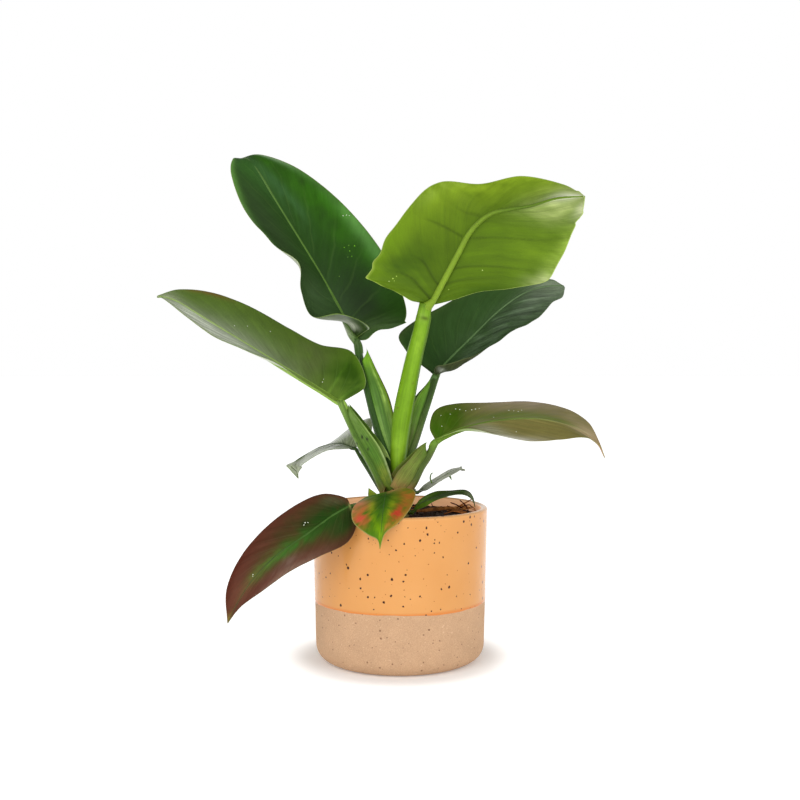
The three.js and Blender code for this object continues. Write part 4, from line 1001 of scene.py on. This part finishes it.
        ((96, 110, 56), 1, 0, 0.06, 2, 0.8)]),
    under=((120, 134, 96, 1.3), []), upper_finish=dict(specular=0.9, sheen=0.26),
    rib_tone=((52, 76, 32), [((100, 108, 78), 0.8, 0, 0.2, 3, 0.7)]),
    stalk_tone=((54, 78, 32), [((34, 50, 22), 0.5, 0.5, 1, 0.5, 0.5)]),
    wing_tone=((70, 92, 44), []),
), dict(
    name="leaf_front", slot="leaf_red", stalk_slot="stalk_lime", rows=130, cols=40,
    back=[(-6, -14, 130), (-9, -26, 132), (-11, -38, 136)],
    wing=[(-6, -14, 143), (-9, -26, 141), (-11, -37, 139.6)],
    half=[6, 4.4, 3], body=[9, 6.6, 4.5], tip=0.8,
    mid=[(-11, -39, 140), (-12, -54, 134), (-13, -68, 127.5), (-14, -78, 117), (-15, -81, 102)],
    left=[(3, -36, 143), (12, -43, 140), (8, -60, 130), (-1, -75, 121), (-11, -79, 113.5)],
    right=[(-27, -40, 136), (-36, -62, 130.5), (-35, -73, 121), (-25, -77, 113), (-17, -80, 109)],
    creases=[((-0.1, -0.4, -0.8), 1, 0.3, 0.15, (0.3, 0.42, 0.5)),
        ((0.1, 0.4, 0.8), 1, 0.3, 0.15, (0.4, 0.5, 0.6), (0.2, 0.3, 0.4))],
    rib=([1, 0.7, 0.5, 0.3], [1.6, 1, 0.6, 0.3]), crown=0.12,
    veins=8, pillow=(0.25, 0.25),
    upper=((66, 108, 20, 0.5), [
        ((42, 76, 20), 0.22, 0, 0.2, 0.45, 0.95), ((48, 86, 26), 0.5, 0.06, 0.2, 0.16, 0.85, 0.4),
        ((108, 148, 14), 0.8, 0.3, 0.16, 0.5, 0.9, 0.3), ((118, 146, 22), 0.55, -0.3, 0.2, 0.14, 0.8, 0.4),
        ((124, 158, 16), 0.9, 0, 0.1, 0.6, 0.9, 0.2), ((110, 150, 14), 0.5, 0.42, 0.2, 0.12, 0.85, 0.7),
        ((190, 122, 80), 0.36, 0.95, 0.13, 0.4, 0.95, 0.5),
        ((170, 92, 46), 0.48, 0.72, 0.1, 0.25, 0.95, 0.7), ((198, 84, 60), 0.52, 0.82, 0.06, 0.2, 0.85, 0.6),
        ((162, 100, 40), 0.4, -0.85, 0.2, 0.35, 0.9, 0.5), ((190, 68, 44), 0.6, -0.64, 0.1, 0.25, 0.95, 0.6),
        ((178, 130, 54), 0.66, -0.98, 0.14, 0.16, 0.85), ((166, 124, 76), 0.1, -0.6, 0.09, 0.45, 0.9, 0.3),
        ((52, 92, 20), 0.64, 0.25, 0.06, 0.15, 0.6, 0.5), ((152, 114, 40), 0.75, -0.6, 0.07, 0.2, 0.8, 0.5),
        ((190, 154, 66), 1, 0, 0.04, 2, 0.8)]),
    under=((130, 140, 60), []), upper_finish=dict(rim=(160, 150, 90), vein_strength=0.06, specular=0.05),
    rib_tone=((50, 84, 26), [((104, 140, 24), 1, 0, 0.3, 3, 0.8)]),
    stalk_tone=((120, 104, 54), []),
    wing_tone=((130, 112, 60), []),
), dict(
    name="leaf_low_left", slot="leaf_red", stalk_slot="stalk_tan", rows=160, cols=44,
    back=[(-8, -14, 126), (-17, -26, 126), (-28, -41, 128), (-37, -55, 129.5)],
    wing=[(-6, -14, 135), (-16, -26, 133), (-27, -41, 132.5), (-36.6, -54.6, 133.4)],
    half=[5, 4, 3, 2.4], body=[7.5, 6, 4.5, 3.6], tip=0.8,
    mid=[(-38, -56, 132), (-53, -63, 124), (-70, -69, 112), (-87, -73, 101), (-104, -76, 86),
        (-118, -77, 68), (-130, -76, 45)],
    left=[(-33, -66, 119), (-40, -76, 106), (-60, -82, 97), (-82, -84, 86), (-103, -84, 71),
        (-119, -82, 59)],
    right=[(-43, -48, 137), (-61, -44, 139), (-81, -50, 131), (-103, -58, 115), (-121, -67, 94),
        (-131, -73, 70)],
    creases=[((0.05, 0.4, 0.85), 1.2, 0.4, -0.2, (0.3, 0.4, 0.5)),
        ((0.05, 0.4, 0.85), 1.2, 0.4, -0.12, (0.4, 0.5, 0.6), (0.5, 0.6, 0.7)),
        ((-0.05, -0.4, -0.8), 1.2, 0.4, -0.12, (0.5, 0.56, 0.6), (0.38, 0.44, 0.48))],
    rib=([1.4, 1.2, 0.8, 0.3], [1.8, 1.2, 0.8, 0.3]), crown=0.2,
    veins=12, pillow=(0.25, 0.25),
    upper=((88, 47, 35, 0.42), [
        ((32, 62, 18), 0.3, 0.12, 0.32, 0.58, 0.97, 0.2), ((54, 94, 30), 0.6, -0.1, 0.26, 0.3, 0.9, 0.3),
        ((80, 108, 42), 0.76, 0, 0.1, 0.24, 0.8, 0.6), ((58, 80, 34), 0.27, -0.48, 0.09, 0.22, 0.7, 0.3),
        ((50, 90, 26), 0.25, -0.02, 0.18, 0.12, 0.65), ((88, 110, 44), 0.85, -0.05, 0.06, 0.14, 0.6),
        ((36, 60, 20), 0.13, -0.35, 0.1, 0.35, 0.6), ((62, 56, 28), 0.42, 0.5, 0.16, 0.2, 0.75, 0.5),
        ((82, 84, 56, 0.9), 0.22, 0.62, 0.08, 0.25, 0.75, 0.4), ((34, 54, 16), 0.2, -0.5, 0.17, 0.48, 0.95),
        ((62, 38, 24), 0.24, -1, 0.1, 0.18, 0.85), ((126, 100, 84, 1.2), 0.57, -0.95, 0.14, 0.2, 0.85, 0.3),
        ((108, 68, 50), 0.88, -0.2, 0.08, 0.8, 0.7), ((76, 32, 18), 0.8, 0.95, 0.16, 0.2, 0.9, 0.3),
        ((22, 30, 12), 0.466, 0.3, 0.018, 0.1, 0.9, 0.5), ((28, 58, 14), 0.38, 0.05, 0.12, 0.35, 0.7),
        ((108, 84, 72), 0.62, -0.6, 0.08, 0.2, 0.6, 0.5), ((140, 146, 84), 0.045, 0, 0.035, 0.6, 0.85),
        ((150, 140, 60), 1, 0, 0.03, 2, 0.8)]),
    under=((110, 72, 60), []),
    upper_finish=dict(rim=(96, 64, 46), vein=(110, 104, 70), vein_strength=0.1, specular=0.05),
    rib_tone=((56, 86, 30), [((84, 66, 44), 0.95, 0, 0.2, 3, 0.8), ((72, 108, 44), 0.32, 0, 0.22, 3, 0.7)]),
    stalk_tone=((96, 96, 48), []),
    wing_tone=((100, 96, 50), []),
    drops=[(0.462, 0.33, 0.55), (0.475, 0.29, 0.5), (0.452, 0.28, 0.4), (0.801, 0.16, 0.4),
        (0.81, 0.12, 0.3)],
), dict(
    name="leaf_low_right", slot="leaf_small", stalk_slot="stalk_lime", rows=110, cols=30,
    back=[(-2, -12, 119), (4, -22, 120), (9, -31, 121)],
    wing=[(-2, -12, 125), (4, -22, 124), (10, -31, 125)],
    half=[4, 3, 2.2], body=[6, 4.5, 3.3], tip=0.8,
    mid=[(10, -31, 124), (17, -26, 130), (28, -19, 133), (40, -11, 136), (52, -3, 136), (59, 1, 131),
        (62, 4, 122)],
    left=[(16, -15, 131), (28, -4, 136), (41, 4, 136), (54, 8, 136), (60, 7, 131)],
    right=[(19, -36, 128), (29, -33, 134), (41, -25, 137), (52, -13, 135), (59, -3, 129)],
    rib=([1.1, 0.8, 0.6, 0.3], [1.3, 0.9, 0.6, 0.3]), crown=0.12,
    veins=10, pillow=(0.15, 0.15),
    pulls=[(1, 0.45, 0.2, (0, 0, -1.6))],
    upper=((40, 60, 12, 0.7), [
        ((98, 136, 30), 0.18, 0, 0.18, 2, 0.9, 0.3), ((106, 104, 72, 1), 0.6, -1, 0.35, 0.1, 0.8),
        ((120, 124, 98, 1), 0.85, 0, 0.08, 2, 0.5, 0.5)]),
    under=((48, 70, 22), [((104, 136, 44), 0, 0, 0.2, 2, 0.8)]),
    upper_finish=dict(specular=0.03, sheen=0.7, rim=(70, 84, 34)),
    rib_tone=((54, 80, 18), []),
    stalk_tone=((96, 120, 40), []),
    wing_tone=((96, 120, 40), []),
), dict(
    name="leaf_back_right", slot="leaf_small", stalk_slot="stalk_green", rows=100, cols=30,
    back=[(0, 0, 132), (8, 10, 132), (15, 18, 131)],
    wing=[(0, 0, 139), (8, 10, 137), (14, 18, 135)],
    half=[4, 3, 2], body=[6, 4.5, 3], tip=0.8,
    mid=[(15, 18, 134), (27, 28, 139), (40, 40, 146), (50, 51, 149), (54, 56, 147)],
    left=[(21, 32, 138), (32, 46, 143), (43, 56, 148), (51, 60, 149)],
    right=[(22, 14, 135), (34, 20, 142), (47, 36, 147), (54, 49, 149.5)],
    pulls=[(-1, 0.9, 0.08, (1, 2, 2)), (1, 0.9, 0.08, (2, -1, -1))],
    rib=([1.1, 0.8, 0.6, 0.3], [1.3, 0.9, 0.6, 0.3]), crown=0.12,
    veins=10, pillow=(0.2, 0.2),
    # Painted reflection: the pale silvery, strongly streaked base paints the glare of the upper face.
    upper=((198, 200, 182, 2.2), [
        ((84, 94, 56), 0.14, 0.1, 0.18, 0.8, 0.9, 0.3), ((150, 152, 142), 0.95, 0, 0.08, 2, 0.8)]),
    upper_finish=dict(specular=0.05, rim=(150, 154, 140)),
    nubs=[([(27, 29, 139), (25.5, 29, 143), (26.3, 28, 147), (28.4, 28, 148)], [0.7, 0.6, 0.5, 0.2]),
        ([(40.5, 40, 146), (42.6, 39, 143.6), (44, 38, 140.6)], [1, 0.9, 0.2])],
    under=((140, 144, 130, 1.4), []),
    rib_tone=((90, 100, 66), [((140, 142, 124), 0.8, 0, 0.3, 3, 0.8)]),
    stalk_tone=((70, 96, 42), []),
    wing_tone=((80, 104, 50), []),
)]

DEW = dew_material()


def add_leaf(leaf):
    """One leaf: its stalk and its blade with the midrib, each a piece that stands for its own node."""
    name = leaf["name"]
    stalk = stalk_material(name + " stalk")
    piece(name + "_stalk_dressed", stalk_skins(leaf), [stalk], [name + "_stalk"])
    faces = [leaf_face(f"{name} {face} face", leaf["veins"], **leaf.get(face + "_finish", {}))
             for face in ("upper", "under")]
    blade = Blade(leaf)
    skins = blade.skins(leaf["rows"], leaf["cols"]) + [blade.midrib()]
    skins += [blade.drop(*drop) for drop in leaf.get("drops", [])]
    for path, radii in leaf.get("nubs", []):
        skins.append(tube(path, radii, 8, 16, tone=paint((110, 150, 56)), materials=2))
    piece(name + "_blade_dressed", skins, [*faces, stalk, DEW], [name + "_blade"])


for leaf in LEAVES:
    add_leaf(leaf)


# Pot

def add_pot():
    """Turned pot: the outside up to the glaze line is bare clay, and the glaze over it stands proud with a
    rounded, slightly wandering lower edge. It covers the rim and the inside too."""
    corner = np.linspace(0, np.pi / 2, 10)
    outside = [(FOOT_RADIUS - FOOT_CORNER * (1 - np.sin(a)), FOOT_CORNER * (1 - np.cos(a))) for a in corner]
    slope = (RIM_RADIUS - FOOT_RADIUS) / (POT_HEIGHT - FOOT_CORNER)
    foot = [(0.5, 0), (30, 0), (FOOT_RADIUS - FOOT_CORNER - 3, 0)]

    def wall(z):
        return FOOT_RADIUS - GLAZE + (z - FOOT_CORNER) * slope

    outside = [(r - GLAZE * smooth(z, 2, 12), z) for r, z in outside]
    clay = [(wall(z), z) for z in np.linspace(FOOT_CORNER + 4, GLAZE_LINE - 0.6, 8)]
    bead = [(wall(GLAZE_LINE) + out, GLAZE_LINE + up) for out, up in
            [(0.0, -0.15), (0.12, 0.0), (0.3, 0.15), (0.42, 0.5), (0.44, 1.0), (0.38, 2.0)]]
    glazed = [(wall(z) + GLAZE, z) for z in np.linspace(GLAZE_LINE + 6, POT_HEIGHT - 3.5, 10)]
    half_wall = WALL / 2
    lip = [(RIM_RADIUS - half_wall + half_wall * np.cos(a), POT_HEIGHT - 2 + 2 * np.sin(a))
           for a in np.linspace(0, np.pi, 15)]
    inner = RIM_RADIUS - WALL
    inside = [(inner - 1.2 * (POT_HEIGHT - z) / (POT_HEIGHT - FLOOR), z)
              for z in np.linspace(POT_HEIGHT - 4, FLOOR + 10, 12)]
    inside += [(inner - 3, FLOOR + 4), (inner - 8, FLOOR), (20, FLOOR), (0.5, FLOOR)]
    profile = np.array(foot + outside + clay + bead + glazed + lip + inside)
    bare = len(foot + outside + clay) + 1
    turn = turns(POT_SIDES)
    r, z = profile[:, :1], profile[:, 1:]
    wander = 0.45 * np.sin(3 * turn + 0.6) + 0.25 * np.sin(7 * turn) + 0.12 * np.sin(19 * turn + 2)
    z = z + wander * np.exp(-((z - GLAZE_LINE) / 5) ** 2)
    x, y = r * np.cos(turn), r * np.sin(turn)
    wobble = 0.1 * lumps(np.stack([x, y, z], -1), 22, 5) * smooth(r, 40, 60)
    rings = np.stack([x + wobble * np.cos(turn), y + wobble * np.sin(turn), z], -1)
    made = skin(rings, (0, 0, 0), (0, 0, FLOOR))
    strip = np.concatenate([np.arange(len(rings) - 1) < bare, [True, False]])
    made["materials"] = np.repeat(strip.astype(int), POT_SIDES)
    piece("pot_dressed", [made], [glaze_material(), clay_material()], ["pot"])


add_pot()


# Soil, and what lies on it

def soil_level(x, y):
    """The soil's gentle swell: the same wave as the solid's."""
    return SOIL_TOP + 0.9 * (np.sin(x / 9 + 1) * np.cos(y / 11) - 0.6)


def add_soil():
    """Dark potting mix: a disc of rings whose level is the swell plus lumps of three sizes, with crumbs on
    it."""
    inner = RIM_RADIUS - WALL
    turn = turns(SOIL_SIDES)
    low = FLOOR + 0.3
    wall = np.array([(0.5, low), (40, low), (inner - 8.4, low), (inner - 1.7, FLOOR + 10), (inner - 0.9, 60),
                     (inner - 0.6, SOIL_TOP - 1.5)])
    radii = np.concatenate([wall[:, 0], np.linspace(inner - 0.8, 0.6, 70)])[:, None]
    x, y = radii * np.cos(turn), radii * np.sin(turn)
    top = soil_level(x, y)
    at = np.stack([x, y, top], -1)
    top = top + 1.1 * lumps(at, 7, 11) + 0.7 * lumps(at, 3, 12) + 0.35 * lumps(at, 1.4, 13)
    z = np.where(np.arange(len(radii))[:, None] < len(wall), 0, top)
    z[:len(wall)] = wall[:, 1:]
    soil = skin(np.stack([x, y, z], -1))
    rng = np.random.default_rng(21)
    crumbs = []
    for _ in range(CRUMBS):
        turn, far = rng.uniform(0, 2 * np.pi), (inner - 2.5) * np.sqrt(rng.uniform())
        x, y, size = far * np.cos(turn), far * np.sin(turn), rng.uniform(0.6, 1.9)
        crumbs.append(lump_skin((x, y, soil_level(x, y) + 0.4), size, rng))
    piece("soil_dressed", [soil] + crumbs, [earthy_material("potting soil", (34, 20, 12), (92, 62, 42))],
          ["soil"])


def lump_skin(centre, size, rng):
    """Small rough lump: a ball of 6 by 4 points stretched, turned and pushed in and out at random."""
    stretch = rng.uniform(0.5, 1.0, 3) * size
    lat = np.linspace(-1.1, 1.1, 4)[:, None]
    lon = turns(6) + rng.uniform(0, 6)
    bump = rng.uniform(0.75, 1.2, (4, 6))
    ball = np.stack([np.cos(lat) * np.cos(lon), np.cos(lat) * np.sin(lon), np.sin(lat) + 0 * lon], -1)
    return skin(np.array(centre) + ball * bump[..., None] * stretch)


add_soil()


def strands(paths, start, end):
    """Thin lumpy tubes along the paths, each with its radius, which tapers to a share of it at the two
    ends."""
    return [tube(path, [r * start, r, r * end], 8, 24, 0.2, seed) for seed, (path, r) in enumerate(paths)]


def add_litter():
    """The brown surface root, a dried leaf sheath, and a few thin dark roots and twigs."""
    root_look = earthy_material("root bark", (124, 72, 30), (212, 138, 70), 260.0)
    path = [(5, -5, 120.5), (17, 2, 119.4), (30, 9, 120), (43, 11, 120.2), (50, 8, 118), (58, 7, 116)]
    radii = [1.5, 1.3, 1.5, 1.4, 1.2, 0.9]
    piece("root_dressed", [tube(path, radii, lumpiness=0.25, seed=3)], [root_look], ["root"])
    husk = dict(mid=[(39, 19, 117.4), (46, 21, 120), (53, 22, 121.4), (59, 22, 120)],
                left=[(41, 25, 117.8), (48, 28, 119.6), (55, 27, 120.4)],
                right=[(45, 15, 117.8), (52, 15.5, 118.8), (58, 17.5, 119.4)],
                pillow=(0.5, 0.5), veins=5, swing=(0.8, 0.8),
                upper=((192, 122, 52), []), under=((160, 96, 40), []))
    dry = earthy_material("dry sheath", (214, 124, 52), (250, 184, 112), 300.0)
    piece("husk_dressed", Blade(husk).skins(30, 10), [dry, dry], ["husk"])
    twigs = [
        ([(36, 2, 117), (44, -2, 119.5), (52, -4, 118), (57, -8, 117)], 0.5),
        ([(48, 12, 117), (53, 6, 120), (58, 4, 121), (62, 6, 119)], 0.4),
        ([(45, 17, 118), (51, 18, 122), (56, 19, 124.5), (61, 20, 127.4)], 0.6),
        ([(56, 17, 119), (60, 14, 121), (63, 12, 118)], 0.5),
        ([(-20, 20, 117), (-10, 32, 119), (4, 40, 117.5), (16, 46, 117)], 0.6),
        ([(-44, -8, 117), (-36, 4, 119), (-30, 18, 117.5)], 0.5),
        ([(20, -44, 117), (32, -38, 118.5), (44, -34, 117)], 0.4),
    ]
    thin = earthy_material("thin roots", (150, 80, 30), (230, 140, 66), 300.0)
    piece("twigs", strands(twigs, 1, 0.6), [thin])
    threads = [
        ([(42, 15, 124.4), (47, 16, 122.5), (52, 17, 119.5)], 0.6),
        ([(50, 18, 126), (54, 17, 122.5), (57, 16, 118)], 0.6),
        ([(48, 15, 118.5), (53, 15, 121.5), (58, 16, 122.4), (60, 17, 120)], 0.5),
    ]
    dead = earthy_material("dead threads", (50, 16, 10), (112, 40, 24), 300.0)
    piece("threads", strands(threads, 0.7, 0.7), [dead])


add_litter()


def add_crown():
    """The stem, ringed by old leaf scars, and the pointed tip of a bud scale between the front stalks."""
    profile = [(0.4, 84), (5, 86), (9.5, 112), (10.2, 122), (8.8, 136), (5.5, 149), (2.5, 154.5),
               (0.3, 155.8)]
    scar_spacing = 5
    t = np.linspace(0, 1, 90)
    line = spline(profile, t)
    turn = turns(40)
    r = line[:, :1] * (1 + 0.03 * np.sin(line[:, 1:] * 2 * np.pi / scar_spacing))
    z = line[:, 1:] + turn * 0
    x, y = -3, -7
    rings = np.stack([x + r * np.cos(turn), y + r * np.sin(turn), z], -1)
    tone = airbrush(pairs(t[:, None], turn), (112, 122, 60), [((150, 100, 62), 0.55, 0, 0.2, 99, 0.8)])
    piece("stem_dressed", [skin(rings, tone=tone)], [stalk_material("stem skin")], ["stem"])
    scale = dict(mid=[(-14, -23, 126), (-18, -27, 131), (-22, -29, 137), (-25, -30, 142)],
                 left=[(-20, -24, 128), (-25, -26, 134)], right=[(-13, -29, 130), (-18, -31, 137)],
                 upper=((140, 164, 50), []), under=((150, 172, 60), []), pillow=(0.1, 0.1), veins=9)
    look = leaf_face("bud scale", veins=3.0)
    piece("bud_scale_dressed", Blade(scale).skins(40, 12), [look, look], ["bud_scale"])


add_crown()


# Studio

def add_floor():
    """Plain white floor, wide enough to pass below the picture's horizon. Its glow dims near the pot, a
    painted shadow.
    """
    mesh = bpy.data.meshes.new("floor")
    far = 12.0
    mesh.from_pydata([(-far, -far, 0), (far, -far, 0), (far, far, 0), (-far, far, 0)], [], [(0, 1, 2, 3)])
    material, w, shader = new_material("white floor")
    color = w.mix(w.noise(w.place(), 3.0), rgba((250, 250, 250)), rgba((254, 254, 254)))
    w.put(shader.inputs["Base Color"], color)
    shader.inputs["Roughness"].default_value = 0.9
    away = w.length(w.place())
    # Painted shadow: the floor's glow is dimmed close to the pot's foot and in a ring round it.
    glow = w.times(w.between(away, 0.07, 0.1, 0.2, 1.0), w.between(away, 0.1, 0.5, 0.56, FLOOR_GLOW))
    grey = w.node("ShaderNodeCombineColor", {0: glow, 1: glow, 2: glow}).outputs[0]
    w.put(shader.inputs["Emission Color"], grey)
    shader.inputs["Emission Strength"].default_value = 1.0
    mesh.materials.append(material)
    floor = bpy.data.objects.new("floor", mesh)
    bpy.context.scene.collection.objects.link(floor)


def add_lamp(name, place, aim, size, power):
    """Square soft lamp that faces the point aim."""
    lamp = bpy.data.lights.new(name, "AREA")
    lamp.size, lamp.energy = size, power
    made = bpy.data.objects.new(name, lamp)
    made.location = place
    toward = np.array(aim) - np.array(place)
    made.rotation_mode = "QUATERNION"
    made.rotation_quaternion = Vector(toward).to_track_quat("-Z", "Y")
    bpy.context.scene.collection.objects.link(made)


def add_world():
    """White surround: a bright backdrop behind and beside the plant, dim overhead and on the camera's side,
    and pure white to the eye."""
    world = bpy.data.worlds.new("studio")
    world.use_nodes = True
    tree = world.node_tree
    tree.nodes.clear()
    w = Wiring(tree)
    direction = w.parts(w.place("Generated"))
    backdrop = w.between(direction[1], -0.9, 0.5, FRONT_LIGHT, BACK_LIGHT)
    overhead = w.between(direction[2], 0.3, 0.8)
    strength = w.node("ShaderNodeMix", {0: overhead, 2: backdrop, 3: OVERHEAD_LIGHT}).outputs[0]
    lit = w.node("ShaderNodeBackground", {"Color": (1, 1, 1, 1), "Strength": strength})
    seen = w.node("ShaderNodeBackground", {"Color": (1, 1, 1, 1), "Strength": 1.0})
    eye = w.node("ShaderNodeLightPath").outputs["Is Camera Ray"]
    mixed = w.node("ShaderNodeMixShader", {0: eye, 1: lit.outputs[0], 2: seen.outputs[0]})
    out = w.node("ShaderNodeOutputWorld")
    w.put(out.inputs["Surface"], mixed.outputs[0])
    bpy.context.scene.world = world


def add_camera():
    """Long lens nearly level with the leaves, tilted 2.25 degrees down, 0.9 m in front of the pot."""
    camera = bpy.data.objects.new("camera", bpy.data.cameras.new("camera"))
    camera.data.lens, camera.data.sensor_width = 50, 36
    camera.location = (0, -0.905, 0.246)
    camera.rotation_euler = (np.radians(90 - 2.25), 0, 0)
    bpy.context.scene.collection.objects.link(camera)
    bpy.context.scene.camera = camera


bpy.context.scene.view_settings.view_transform = "Standard"
add_floor()
add_world()
add_lamp("key", (-0.7, -1.5, 0.95), (0, 0, 0.2), 1.6, 17.5)
add_lamp("fill", (1.1, -1.2, 0.8), (0, 0, 0.2), 1.0, 8.2)
add_camera()

bpy.context.view_layer.update()
